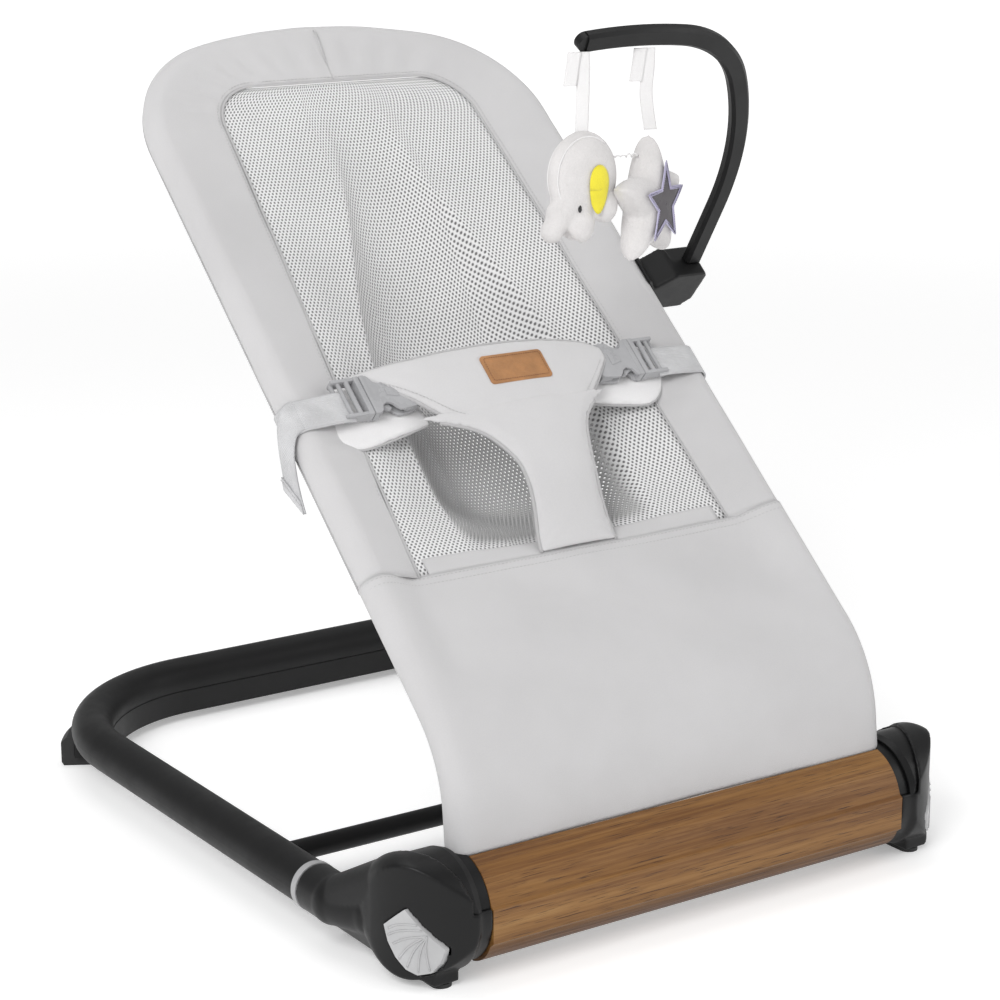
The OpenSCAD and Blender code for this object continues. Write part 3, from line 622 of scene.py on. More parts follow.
LIGHT_CLOTH = (0.585, 0.578, 0.583)
BLACK = (0.004, 0.004, 0.0043)
PLASTICS = {
    "base_tube": ("base_paint", BLACK, 0.50, 2600, 0.10, 0.25),
    "seat_tube": ("seat_paint", BLACK, 0.48, 2600, 0.10, 0.25),
    "hub_plastic": ("hub_plastic", BLACK, 0.44, 1800, 0.14, 0.28),
    "clip_plastic": ("clip_plastic", BLACK, 0.42, 1800, 0.14, 0.3),
    "arm_plastic": ("arm_plastic", BLACK, 0.44, 2000, 0.10, 0.3),
    "foot_rubber": ("foot_rubber", (0.016, 0.016, 0.0165), 0.7, 900, 0.3),
    "collar_grey": ("collar_grey", (0.36, 0.36, 0.365), 0.4, 1800, 0.12),
    "button_grey": ("button_grey", (0.42, 0.42, 0.425), 0.34, 1800, 0.10),
    "bush_plastic": ("bush_plastic", (0.75, 0.74, 0.70), 0.35, 1500, 0.08),
    "buckle_plastic": ("buckle_plastic", (0.37, 0.37, 0.38), 0.30, 1500, 0.05),
    "eye": ("eye", (0.012, 0.012, 0.013), 0.2, 900, 0.05),
}
CLOTHS = {
    "seat_cloth": (LIGHT_CLOTH, "UV", 0.0007, 0.35, 0.25),
    "harness_cloth": (shade(LIGHT_CLOTH, 1.02), "Object", 0.0008, 0.25, 0.35),
    # The wings' cloth is the harness cloth made lighter: painted light against the shade the wings sit in.
    "wing_cloth_painted_light": ((0.78, 0.772, 0.776), "Object", 0.0008, 0.25, 0.35),
    "binding": (shade(LIGHT_CLOTH, 0.9), "Object", 0.0009, 0.5, 0.1),
    "thread": (shade(LIGHT_CLOTH, 0.86), "Object", 0.0005, 0.3, 0.1),
    "label_thread": ((0.16, 0.055, 0.02), "Object", 0.0005, 0.3, 0.1),
    "toy_tape": ((0.82, 0.81, 0.81), "Object", 0.0009, 0.4, 0.1),
    "star_border": ((0.56, 0.53, 0.72), "Object", 0.0006, 0.4, 0.1),
}
MAT = {
    "inner_steel": steel_material("inner_steel"),
    "wood": wood_material("oak"),
    "air_mesh": mesh_material("air_mesh", (0.80, 0.795, 0.80)),
    "label_leather": leather_material("label_leather", (0.40, 0.19, 0.072)),
    "webbing": webbing_material("webbing", (0.54, 0.54, 0.55)),
    "toy_plush": plush_material("toy_plush", (0.66, 0.642, 0.638), 700),
    "toy_ear": plush_material("toy_ear", (0.80, 0.70, 0.06), 1000),
    "star_print": foil_material("star_print", (0.075, 0.068, 0.075)),
}
MAT.update({slot: plastic_material(*values) for slot, values in PLASTICS.items()})
MAT.update({slot: cloth_material(slot, *values) for slot, values in CLOTHS.items()})


def dress(obj, slot, body="seat", look=None, replaces=()):
    """Material of the slot, or of look when given, the body it rides on, and the CAD nodes it stands for, which it
    hides.
    """
    obj.data.materials.clear()
    obj.data.materials.append(MAT[look or slot])
    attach(obj, body)
    if replaces:
        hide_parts(*replaces)
    return obj


# ---------------------------------------------------------------- seat cover

SAG = 0.052
MESH_SIDE = 0.141
MESH_TAPER = 0.055
SLEEVE_WRAP = math.radians(118)


def pocket_half(s):
    """Half width of the deep part of the hammock."""
    return mix(0.088, 0.030, smooth((s - 0.30) / 0.27))


def pocket_depth(s):
    rise = smooth((s - SEAM_S + 0.004) / 0.085)
    fall = 1 - smooth((s - 0.33) / 0.275)
    return SAG * rise * fall


def mesh_side(s):
    """Half width of the mesh, without its rounded top corners."""
    return MESH_SIDE - (s - SEAM_S) * MESH_TAPER


def mesh_half(s):
    over = max(0.0, s - (MESH_TOP - MESH_CORNER_R))
    return mesh_side(s) - (MESH_CORNER_R - math.sqrt(max(0.0, MESH_CORNER_R ** 2 - over ** 2)))


def mesh_n(x, s):
    """Height of the cloth above the rails: a shallow side strip, a soft crease, then the deep pocket."""
    reach = max(0.10, mesh_half(s))
    edge = mix(-0.002, 0.004, smooth((s - 0.15) / 0.4))
    deep = pocket_depth(s)
    half = pocket_half(s)
    strip = 0.20 * deep * smooth((reach - abs(x)) / max(0.02, reach - half))
    t = min(1.0, abs(x) / half)
    bowl = 0.80 * deep * (1 - t ** 2.6) ** 0.9
    crease = 0.0012 * ripple(x, s, 0.05, 3.1) * smooth(deep / 0.02)
    return edge - strip - bowl + crease


def mesh_panel():
    rows = []
    count, half_count = 150, 44
    for i in range(count + 1):
        s = mix(SEAM_S + 0.001, MESH_TOP - 0.0006, math.sin(math.pi / 2 * i / count) ** 0.9)
        half = mesh_half(s) + 0.004
        across = [half * j / half_count for j in range(-half_count, half_count + 1)]
        rows.append([seat(x, s, mesh_n(x, s)) for x in across])
    obj = grid("mesh_panel_cloth", rows, 0.0006)
    # The 'open' value lets the deep pocket show through, and the material also darkens its threads with it as
    # painted shade.
    opened = obj.data.attributes.new("open", "FLOAT", "POINT")
    for p, v in zip([p for row in rows for p in row], opened.data):
        q = p - KNEE
        below = q.dot(ALONG)
        inside = smooth((pocket_half(below) * 1.02 - abs(q.x)) / 0.02)
        v.value = inside * smooth((0.345 - below) / 0.05) * smooth((below - 0.158) / 0.02)
    dress(obj, "air_mesh", replaces=["mesh_panel"])


def sleeve(cx, cs, ox, os_, mx, ms, fold):
    """Section of the border: from the mesh edge up over the tube, round it and back under."""
    m_n = mesh_n(mx, ms) + 0.0009
    d = (cx - mx) * ox + (cs - ms) * os_
    beta = math.atan2(m_n, -d) % (2 * math.pi)
    phi = beta - math.acos(min(1.0, CLOTH_R / math.hypot(m_n, d)))
    points = []
    tx, tn = math.cos(phi) * CLOTH_R, math.sin(phi) * CLOTH_R
    for j in range(13):
        t = j / 12
        x = mix(mx, cx + tx * ox, t)
        s = mix(ms, cs + tx * os_, t)
        points.append(seat(x, s, mix(m_n, tn, t) + fold * math.sin(math.pi * t)))
    for j in range(1, 23):
        a = mix(phi, -SLEEVE_WRAP, j / 22)
        r = CLOTH_R + 0.0004 * ripple(a * 0.02, cs + cx, 0.03, 5)
        points.append(seat(cx + r * math.cos(a) * ox, cs + r * math.cos(a) * os_, r * math.sin(a)))
    for j in range(1, 4):
        t = j / 3
        inward = math.cos(-SLEEVE_WRAP) * CLOTH_R - 0.012 * t
        n = mix(math.sin(-SLEEVE_WRAP) * CLOTH_R, -0.001, t)
        points.append(seat(cx + inward * ox, cs + inward * os_, n))
    return points


def border_path():
    """Right half of the path of the tube's centre and the mesh edge beside it."""
    mesh_s1 = MESH_TOP - MESH_CORNER_R
    half_top = mesh_half(mesh_s1) - MESH_CORNER_R
    out = []
    for i in range(61):
        s = mix(SEAM_S - 0.001, HOOP_S, i / 60)
        m = mix(SEAM_S - 0.001, mesh_s1, i / 60)
        out.append((rail_x_at(s), s, 1.0, 0.0, mesh_side(m), m))
    for i in range(1, 19):
        a = (math.pi / 2 - HOOP_TURN) * i / 18
        b = math.pi / 2 * i / 18
        out.append((HOOP_CORNER_X + HOOP_CORNER_R * math.cos(a), HOOP_S + HOOP_CORNER_R * math.sin(a),
                    math.cos(a), math.sin(a),
                    half_top + MESH_CORNER_R * math.cos(b), mesh_s1 + MESH_CORNER_R * math.sin(b)))
    for i in range(1, 15):
        a = math.pi / 2 - HOOP_TURN * (1 - i / 14)
        out.append((HOOP_TOP_R * math.cos(a), SEAT_LEN - HOOP_TOP_R + HOOP_TOP_R * math.sin(a),
                    math.cos(a), math.sin(a), half_top * (1 - i / 14), MESH_TOP))
    return out


def border_fold(cx, cs):
    """Slack in the border: soft gathers at the head corners and beside the buckles."""
    slack = 0.0010 * ripple(cx * 3, cs, 0.06, 1.7)
    corner = smooth((cs - 0.50) / 0.08)
    slack += corner * 0.0010 * math.sin(cx * 210 + cs * 160)
    beside = math.exp(-((cs - 0.255) / 0.035) ** 2)
    slack += beside * 0.0012 * math.sin(cs * 260 + cx * 40)
    return slack


def both_sides(points):
    """A line on the right that ends in the middle of the seat, and its mirror image after it."""
    return points + [Vector((-p.x, p.y, p.z)) for p in points[-2::-1]]


def seam_line(name, points, section):
    """Thin raised edge or seam of the cover."""
    dress(sweep(name, points, section, UP), "seat_cloth", look="binding")


def seat_border():
    half = border_path()
    rows = [sleeve(cx, cs, ox, os_, mx, ms, border_fold(cx, cs)) for cx, cs, ox, os_, mx, ms in half]
    left = [sleeve(-cx, cs, -ox, os_, -mx, ms, border_fold(-cx, cs)) for cx, cs, ox, os_, mx, ms in half]
    obj = grid("seat_border_cloth", rows + left[-2::-1], 0.0008)
    dress(obj, "seat_cloth", replaces=["seat_border"])
    edge, sewn, hem = [], [], []
    hem_angle, hem_r = -math.radians(38), CLOTH_R + 0.0006
    for cx, cs, ox, os_, mx, ms in half:
        edge.append(seat(mx, ms, mesh_n(mx, ms) + 0.0014))
        lift = mesh_n(mx, ms) + 0.0016 + border_fold(cx, cs) * 0.2
        sewn.append(seat(mx + 0.0042 * ox, ms + 0.0042 * os_, lift))
        out = hem_r * math.cos(hem_angle)
        hem.append(seat(cx + out * ox, cs + out * os_, hem_r * math.sin(hem_angle)))
    seam_line("mesh_edge_binding", both_sides(edge), ring(0.0011, 8, 0.6))
    dress(stitches("mesh_edge_stitches", both_sides(sewn), UP), "seat_cloth", look="thread")
    seam_line("sleeve_seam", both_sides(hem), ring(0.0007, 6))
    top = []
    for t in range(13):
        n = mix(mesh_n(0, MESH_TOP), CLOTH_R, smooth(t / 10)) + 0.0012 - 0.004 * max(0, t - 10)
        top.append(seat(0.0, mix(MESH_TOP + 0.002, SEAT_LEN + CLOTH_R * 0.7, t / 12), n))
    seam_line("head_centre_seam", curve_points(top, 30), ring(0.0006, 6))


PANEL_P0 = 0.0345
PANEL_P1 = KNEE_END + SEAM_S - KNEE_CUT
PANEL_WRAP = math.radians(205)


def seam_n(x):
    """Height of the cloth along the seam between front panel and seat."""
    half = mesh_half(SEAM_S)
    if abs(x) <= half:
        return mesh_n(x, SEAM_S + 0.002) + 0.001
    return mix(mesh_n(half, SEAM_S) + 0.001, CLOTH_R, smooth((abs(x) - half) / (RAIL_X - half)))


def panel_rail_x(p):
    if p >= KNEE_END:
        return rail_x_at(KNEE_CUT + p - KNEE_END)
    return RAIL_X - TAPER * p * math.cos(KNEE_TURN)


def panel_section(p):
    """Section of the front panel at a length p up the leg, from one sleeve to the other."""
    near = smooth((p - LEG_END) / (PANEL_P1 - LEG_END)) ** 1.4
    rx = panel_rail_x(p)
    out = []
    for j in range(18):
        a = math.pi + PANEL_WRAP - (PANEL_WRAP + math.pi / 2) * j / 18
        out.append((-rx + CLOTH_R * math.cos(a), CLOTH_R * math.sin(a)))
    for j in range(61):
        x = mix(-rx, rx, j / 60)
        dip = mix(CLOTH_R, seam_n(x), near)
        slack = smooth((rx - abs(x)) / 0.03)
        wave = 0.0013 * ripple(x * 0.5, p, 0.045, 2.2) + 0.0007 * ripple(x, p * 1.6, 0.03, 7.5)
        wave -= 0.0024 * math.sin(math.pi * min(1, max(0, p / PANEL_P1))) * (1 - (x / rx) ** 2)
        pull = 0.0016 * math.sin(x * 34 + p * 60)
        pull *= smooth((p - KNEE_END + 0.03) / 0.05) * smooth((PANEL_P1 - p) / 0.02)
        out.append((x, dip + slack * (wave + pull)))
    for j in range(1, 19):
        a = math.pi / 2 - (PANEL_WRAP + math.pi / 2) * j / 18
        out.append((rx + CLOTH_R * math.cos(a), CLOTH_R * math.sin(a)))
    return [leg(x, p, n) for x, n in out]


def front_panel():
    rows = [panel_section(mix(PANEL_P0, PANEL_P1 - 0.0004, i / 70)) for i in range(71)]
    obj = grid("front_panel_cloth", rows, 0.0008, offset=1.0)
    dress(obj, "seat_cloth", replaces=["front_panel"])
    for k, back in enumerate((0.0022, 0.0072)):
        line = [q + UP * 0.0005 for q in panel_section(PANEL_P1 - back)[8:90]]
        dress(stitches("front_seam_stitches_%d" % k, line, UP), "seat_cloth", look="thread")
    line = [q + UP * 0.0002 for q in panel_section(PANEL_P1 - 0.0002)[4:93]]
    seam_line("front_seam_edge", line, ring(0.0008, 6))
    inside = []
    for i in range(9):
        s = SEAM_S + 0.014 * i / 8
        inside.append([seat(x, s, mesh_n(x, s) + 0.0012) for x in (0.132 * j / 40 for j in range(-40, 41))])
    dress(grid("mesh_hem", inside, 0.0008), "seat_cloth")


mesh_panel()
seat_border()
front_panel()

# ---------------------------------------------------------------- harness


def pillow(name, top, bottom, count, thick, lift, voxel=0.0017, pressure=3.0, cap=0.0022):
    """Stuffed flat piece between two edge lines of (x, s), with its middle surface at height lift(x, s)."""
    a = curve_points([Vector((x, s, 0)) for x, s in top], count + 1)
    b = curve_points([Vector((x, s, 0)) for x, s in bottom], count + 1)
    across = 14
    upper, lower = [], []
    for i in range(count + 1):
        end = (1 - abs(2 * i / count - 1) ** 6) ** 0.5
        up_row, low_row = [], []
        for j in range(across + 1):
            p = a[i].lerp(b[i], j / across)
            puffed = thick / 2 * (0.32 + 0.68 * end * (1 - abs(2 * j / across - 1) ** 3.2) ** 0.5)
            n = lift(p.x, p.y)
            up_row.append(seat(p.x, p.y, n + puffed))
            low_row.append(seat(p.x, p.y, n - puffed * 0.8))
        upper.append(up_row)
        lower.append(low_row)
    nv = across + 1
    verts = [p for row in upper for p in row] + [p for row in lower for p in row]
    n = (count + 1) * nv
    faces = []
    for i in range(count):
        for j in range(across):
            q = i * nv + j
            faces.append((q, q + nv, q + nv + 1, q + 1))
            faces.append((n + q, n + q + 1, n + q + nv + 1, n + q + nv))
    rim = [j for j in range(nv)] + [i * nv + across for i in range(1, count + 1)]
    rim += [count * nv + j for j in range(across - 1, -1, -1)] + [i * nv for i in range(count - 1, 0, -1)]
    for k in range(len(rim)):
        p, q = rim[k], rim[(k + 1) % len(rim)]
        faces.append((p, q, n + q, n + p))
    obj = mesh_object(name, verts, faces)
    puff(obj, voxel, pressure, cap)
    return obj, a, b


def piping(name, line, height, r, step=0.003):
    """Corded edge along a line of (x, s), at a height above the rails."""
    points = resample([seat(p.x, p.y, height(p.x, p.y)) for p in line], step)
    dress(sweep(name, points, ring(r, 8), UP), "harness_cloth", look="binding")


def flap_n(x, s):
    """Middle surface of the waist flap: arched across the seat, nose down at its lower edge."""
    arch = 0.0265 - 0.0125 * (x / 0.115) ** 2
    nose = 0.0045 * smooth((0.285 - s) / 0.045)
    return arch - nose + 0.0009 * ripple(x, s, 0.04, 9.0)


FLAP_TOP = [(-0.131, 0.3135), (-0.103, 0.3155), (-0.070, 0.3165), (-0.035, 0.317), (0.005, 0.317),
            (0.047, 0.315), (0.078, 0.311), (0.0945, 0.304)]
FLAP_LOW = [(-0.1305, 0.3105), (-0.112, 0.3015), (-0.090, 0.283), (-0.064, 0.2585), (-0.029, 0.2455),
            (0.012, 0.2425), (0.052, 0.2525), (0.0945, 0.294)]

flap, flap_top, flap_low = pillow("waist_flap", FLAP_TOP, FLAP_LOW, 64, 0.0085, flap_n)
dress(flap, "harness_cloth", replaces=["waist_pad"])
piping("flap_piping", flap_top + flap_low[::-1] + flap_top[:1], flap_n, 0.0016)


def inset_line(points, distance):
    """The same outline moved towards its middle."""
    mid = sum(points, Vector()) / len(points)
    return [p + (mid - p).normalized() * distance for p in points]


line = [seat(p.x, p.y, flap_n(p.x, p.y) + 0.0042) for p in inset_line(flap_low[8:], 0.0075)]
dress(stitches("flap_stitches", line, UP, 0.003, 0.0021, 0.00028), "harness_cloth", look="thread")


def strip_n(x, s):
    """Crotch strip: rises steeply from the seam and bellies out before it goes under the flap."""
    rise = 0.001 + 0.0255 * smooth((s - SEAM_S) / 0.070) ** 0.85
    return rise - 0.0012 * (x / 0.03) ** 2 + 0.0012 * ripple(x, s * 0.6, 0.03, 4.0)


STRIP_SIDE = [(0.034, 0.1455), (0.0325, 0.160), (0.0305, 0.180), (0.0315, 0.203), (0.037, 0.222)]
STRIP_LEFT = [(-x, s) for x, s in STRIP_SIDE] + [(-0.050, 0.242), (-0.072, 0.2565), (-0.092, 0.266)]
STRIP_RIGHT = STRIP_SIDE + [(0.046, 0.240), (0.060, 0.254), (0.078, 0.266)]
strip, strip_left, strip_right = pillow("crotch_pad", STRIP_LEFT, STRIP_RIGHT, 60, 0.006, strip_n)
dress(strip, "harness_cloth", replaces=["crotch_strip"])
for key, edge_line in (("l", strip_left), ("r", strip_right)):
    piping("strip_piping_" + key, edge_line[:54], strip_n, 0.0014)


def wing_n(x, s):
    return 0.0025 + 0.0010 * math.sin(x * 60)


WING_TOP = [(0.166, 0.284), (0.155, 0.298), (0.137, 0.3125), (0.110, 0.3125), (0.078, 0.306)]
WING_LOW = [(0.165, 0.278), (0.156, 0.265), (0.138, 0.2565), (0.108, 0.2605), (0.074, 0.2680)]
for key, reach in (("l", -1.0), ("r", 0.9)):
    top, low = ([(reach * x, s) for x, s in edge] for edge in (WING_TOP, WING_LOW))
    wing, _, wing_low = pillow("buckle_wing_" + key, top, low, 34, 0.0095, wing_n)
    # Wings get the lighter copy of the harness cloth, painted light against their shade.
    dress(wing, "harness_cloth", look="wing_cloth_painted_light", replaces=["bolster_" + key])
    piping("wing_piping_" + key, wing_low, wing_n, 0.0010, 0.0025)

# Blank leather label with a stitched border
LABEL_S, LABEL_X = 0.2905, 0.003
LABEL_W, LABEL_H = 0.056, 0.026


def rounded(w, h, r, steps=6):
    """Outline of a rectangle with round corners."""
    pts = []
    for quarter, (sx, sy) in enumerate(((1, 1), (-1, 1), (-1, -1), (1, -1))):
        for k in range(steps + 1):
            a = math.pi / 2 * (quarter + k / steps)
            pts.append((sx * (w / 2 - r) + r * math.cos(a), sy * (h / 2 - r) + r * math.sin(a)))
    return pts


def on_label(x, y, z):
    return seat(LABEL_X + x, LABEL_S + y, flap_n(LABEL_X + x, LABEL_S + y) + 0.0046 + z)


label = slab("blank_label", rounded(LABEL_W, LABEL_H, 0.003), 0.0, 0.0016, 0.0004, on_label)
dress(label, "label_leather", replaces=["maker_patch"])
line = [on_label(x, y, 0.0017) for x, y in rounded(LABEL_W - 0.005, LABEL_H - 0.005, 0.002)]
line = resample(line + line[:1], 0.001)
dress(stitches("label_stitches", line, UP, 0.0021, 0.0014, 0.0002), "label_leather", look="label_thread")

# ---------------------------------------------------------------- webbing and buckles

WEB_W = 0.0265
WEB_THICK = 0.0014
WEB_COLS = 12
BUCKLE_N = 0.0145


def web_path(side):
    """Strap from the buckle over the cloth, round the rail and back underneath."""
    rx = rail_x_at(BAND_S)
    r = CLOTH_R + 0.0018
    pts = [(x, BUCKLE_N + n) for x, n in ((0.1395, 0.0005), (0.148, 0.0014), (0.158, 0.0012), (0.168, 0.0004))]
    for j in range(13):
        a = math.radians(88 - 230 * j / 12)
        pts.append((rx + r * math.cos(a), r * math.sin(a)))
    pts.append((rx - 0.0135, -0.0075))
    return [seat(side * x, BAND_S - 0.004 + 0.02 * (0.168 - min(x, 0.168)), n) for x, n in pts]


for key, side in (("l", -1), ("r", 1)):
    rows = band_rows(curve_points(web_path(side), 90), ALONG * WEB_W, WEB_COLS)
    strap = grid("webbing_strap_" + key, rows, WEB_THICK, offset=0.0)
    dress(strap, "webbing", replaces=["webbing_" + key])

# Loose end of the left strap
tail_top = seat(-(rail_x_at(BAND_S) + CLOTH_R * 0.72), BAND_S - 0.004, CLOTH_R * 0.95)
TAIL_KNOTS = ((0.003, 0.0, 0.0018), (-0.0045, -0.0005, -0.0020), (-0.0085, -0.002, -0.014),
              (-0.0090, -0.005, -0.030), (-0.0088, -0.010, -0.046), (-0.0086, -0.015, -0.058))
rows = []
for i, p in enumerate(curve_points([tail_top + Vector(v) for v in TAIL_KNOTS], 40)):
    wide = ALONG.lerp(Vector((-0.10, 0.75, 0.45)), i / 39).normalized()
    rows += band_rows([p], wide * WEB_W, WEB_COLS)
tail = grid("webbing_loose_end", rows, WEB_THICK, offset=0.0)
dress(tail, "webbing", replaces=["webbing_tail_l"])
end_rows = [[q + Vector((-0.0016, 0, 0)) for q in row] for row in rows[33:]]
dress(grid("webbing_end_fold", end_rows, WEB_THICK, offset=0.0), "webbing")
line = resample([q + Vector((-0.0026, 0, 0)) for q in rows[34]], 0.001)
dress(stitches("webbing_end_stitches", line, -ACROSS, 0.0026, 0.0018, 0.0003), "webbing", look="thread")


def on_buckle(side):
    """x runs outwards, y along the seat, z away from the seat."""
    def place(x, y, z):
        return seat(side * x, BAND_S + 0.0025 + y, BUCKLE_N + z)
    return place


def buckle_half(name, place, slabs, bars=()):
    """One moulded piece from slabs (outline, low, high, bevel) and round bars (x, half length, z, radius)."""
    parts = [slab("slab", outline, low, high, bevel, place) for outline, low, high, bevel in slabs]
    for x, reach, z, r in bars:
        points = [place(x, y, z) for y in (-reach, -0.0050, 0.0050, reach)]
        parts.append(sweep("bar", points, ring(r, 12), UP))
    return smooth_by_angle(join(name, parts))


SOCKET_EDGE = [(0.084, 0.0135), (0.086, 0.0150), (0.096, 0.0165), (0.1010, 0.0165), (0.1035, 0.0140),
               (0.1060, 0.0105), (0.1100, 0.0088), (0.1140, 0.0105), (0.1160, 0.0150), (0.1175, 0.0170),
               (0.1235, 0.0170)]
SOCKET_SHELL = [(x, -y) for x, y in SOCKET_EDGE] + SOCKET_EDGE[::-1]
SOCKET_SLABS = [
    (SOCKET_SHELL, 0.0022, 0.0050, 0.0008),
    (SOCKET_SHELL, -0.0050, -0.0022, 0.0008),
    (box_outline(0.1000, 0.1130, -0.0060, 0.0060), -0.0030, 0.0030, 0.0004),
    (box_outline(0.0845, 0.0960, -0.0150, 0.0150), -0.0028, 0.0028, 0.0005),
    ([(0.098, -0.0052), (0.1075, -0.0030), (0.1075, 0.0030), (0.098, 0.0052)], 0.0046, 0.0056, 0.0004),
    (box_outline(0.1190, 0.1235, -0.0175, 0.0175), -0.0054, 0.0054, 0.0009),
]
PRONG = [(0.1245, 0.0095), (0.1160, 0.0100), (0.1120, 0.0118), (0.1085, 0.0140), (0.1062, 0.0126),
         (0.1080, 0.0092), (0.1120, 0.0070), (0.1245, 0.0062)]
PLUG_SLABS = [
    (box_outline(0.1239, 0.1285, -0.0175, 0.0175), -0.0050, 0.0052, 0.0010),
    (box_outline(0.1270, 0.1475, -0.0172, -0.0142), -0.0042, 0.0046, 0.0009),
    (box_outline(0.1270, 0.1475, 0.0142, 0.0172), -0.0042, 0.0046, 0.0009),
    ([(x, -y) for x, y in PRONG[::-1]], -0.0018, 0.0018, 0.0005),
    (PRONG, -0.0018, 0.0018, 0.0005),
]
PLUG_BARS = [(0.1345, 0.0150, 0.0026, 0.0021), (0.1415, 0.0150, 0.0020, 0.0017),
             (0.1465, 0.0160, -0.0004, 0.0018)]

for key, side in (("l", -1), ("r", 1)):
    socket = buckle_half("buckle_body_" + key, on_buckle(side), SOCKET_SLABS)
    dress(socket, "buckle_plastic", replaces=["buckle_socket_" + key])
    plug = buckle_half("buckle_tongue_" + key, on_buckle(side), PLUG_SLABS, PLUG_BARS)
    dress(plug, "buckle_plastic", "plug_" + key, replaces=["buckle_plug_" + key])

# ---------------------------------------------------------------- toys

HANG = {name: Vector(joints[name + "_swing"]["pos_m"]) for name in ("elephant", "star")}
TAPE_LEN = 0.054
TAPE_GAP = 0.011
TOY_TOP = HANG["elephant"].z - TAPE_GAP - TAPE_LEN


def blob(name, parts, voxel, relax_times):
    """One soft body from overlapping rounded lumps: (centre, radii, turn about Z in degrees)."""
    bm = bmesh.new()
    for centre, radii, turn in parts:
        made = bmesh.ops.create_icosphere(bm, subdivisions=3, radius=1.0)
        m = (Matrix.Translation(centre) @ Matrix.Rotation(math.radians(turn), 4, "Z")
             @ Matrix.Diagonal((*radii, 1.0)))
        bmesh.ops.transform(bm, matrix=m, verts=made["verts"])
    obj = remesh(from_bmesh(name, bm), voxel)
    return subdivide(applied(modify(obj, "relax", "SMOOTH", iterations=relax_times, factor=0.5)))


def elephant():
    at = Vector((HANG["elephant"].x - 0.002, HANG["elephant"].y, TOY_TOP))
    look = Vector((-0.998, 0.061, 0))
    side = Vector((-0.061, -0.998, 0))
    turn = -3.5
    dome = (0.0290, 0.0150, 0.0345)

    def at_point(f, w, z):
        """f towards the face, w towards the side that shows, z up from the top of the toy."""
        return at + f * look + w * side + Vector((0, 0, z))

    def dome_w(f, z):
        return dome[1] * math.sqrt(max(0.0, 1 - ((f + 0.002) / dome[0]) ** 2 - ((z + dome[2]) / dome[2]) ** 2))

    lumps = [(at_point(-0.002, 0, -dome[2]), dome, turn),
             (at_point(0.009, 0, -0.050), (0.0150, 0.0130, 0.0205), turn),
             (at_point(0.0185, 0, -0.0625), (0.0100, 0.0098, 0.0130), turn),
             (at_point(0.0240, 0, -0.0730), (0.0092, 0.0090, 0.0092), turn)]
    for w in (-0.0062, 0.0062):
        lumps.append((at_point(0.002, w, -0.0690), (0.0108, 0.0076, 0.0135), turn))
        lumps.append((at_point(-0.018, w, -0.0560), (0.0108, 0.0078, 0.0135), turn))
    body = blob("elephant_body", lumps, 0.0018, 7)
    dress(body, "toy_plush", "toy_elephant", replaces=["elephant"])
    for m, key in ((1, "a"), (-1, "b")):
        rows = []
        for i in range(9):
            k = i / 8
            rows.append([])
            for j in range(33):
                a = 2 * math.pi * j / 32
                f = -0.0075 + 0.0082 * math.cos(a) * k * (1 + 0.28 * math.sin(a))
                z = -0.0425 + 0.0180 * math.sin(a) * k
                w = max(0.0128, dome_w(f, z)) + 0.0002 + 0.0016 * (1 - k ** 3)
                rows[-1].append(at_point(f, m * w, z))
        ear = applied(grid("elephant_ear_" + key, rows, 0.0010, offset=1.0 if m > 0 else -1.0))
        dress(ear, "toy_plush", "toy_elephant", "toy_ear")
        lump = (at_point(0.0075, m * 0.0122, -0.0560), (0.0016, 0.0011, 0.0030), turn)
        eye = blob("elephant_eye_" + key, [lump], 0.0004, 1)
        dress(eye, "toy_plush", "toy_elephant", "eye")
        seam = []
        for k in range(30):
            a = math.radians(mix(-58, 125, k / 29))
            f, z = 0.88 * dome[0] * math.cos(a), 0.88 * dome[2] * math.sin(a)
            seam.append(at_point(f - 0.002, m * (dome_w(f - 0.002, z - dome[2]) - 0.0001), z - dome[2]))
        dress(sweep("elephant_seam_" + key, seam, ring(0.0006, 6), side), "toy_plush", "toy_elephant", "toy_tape")


STAR_TURN = math.radians(28)
STAR_U = Vector((math.cos(STAR_TURN), math.sin(STAR_TURN), 0))
STAR_N = Vector((math.sin(STAR_TURN), -math.cos(STAR_TURN), 0))
STAR_R = 0.058
STAR_DEPTH = 0.0125


def star_radius(a):
    """Radius of a rounded five-pointed star, in a direction a."""
    outer, inner, soft = STAR_R * 0.99, STAR_R * 0.52, 0.38
    k = (a / (2 * math.pi / 5)) % 1.0
    t = abs(2 * k - 1)
    reach = outer * math.sin(math.pi / 5 * (1 - t)) + inner * math.sin(math.pi / 5 * t)
    x = outer * inner / (reach / math.sin(math.pi / 5))
    return mix(x, (outer + inner) / 2 * (0.78 + 0.22 * math.cos(2 * math.pi * k)), soft)


def star_height(k):
    return STAR_DEPTH * (1 - k ** 4) ** 0.5


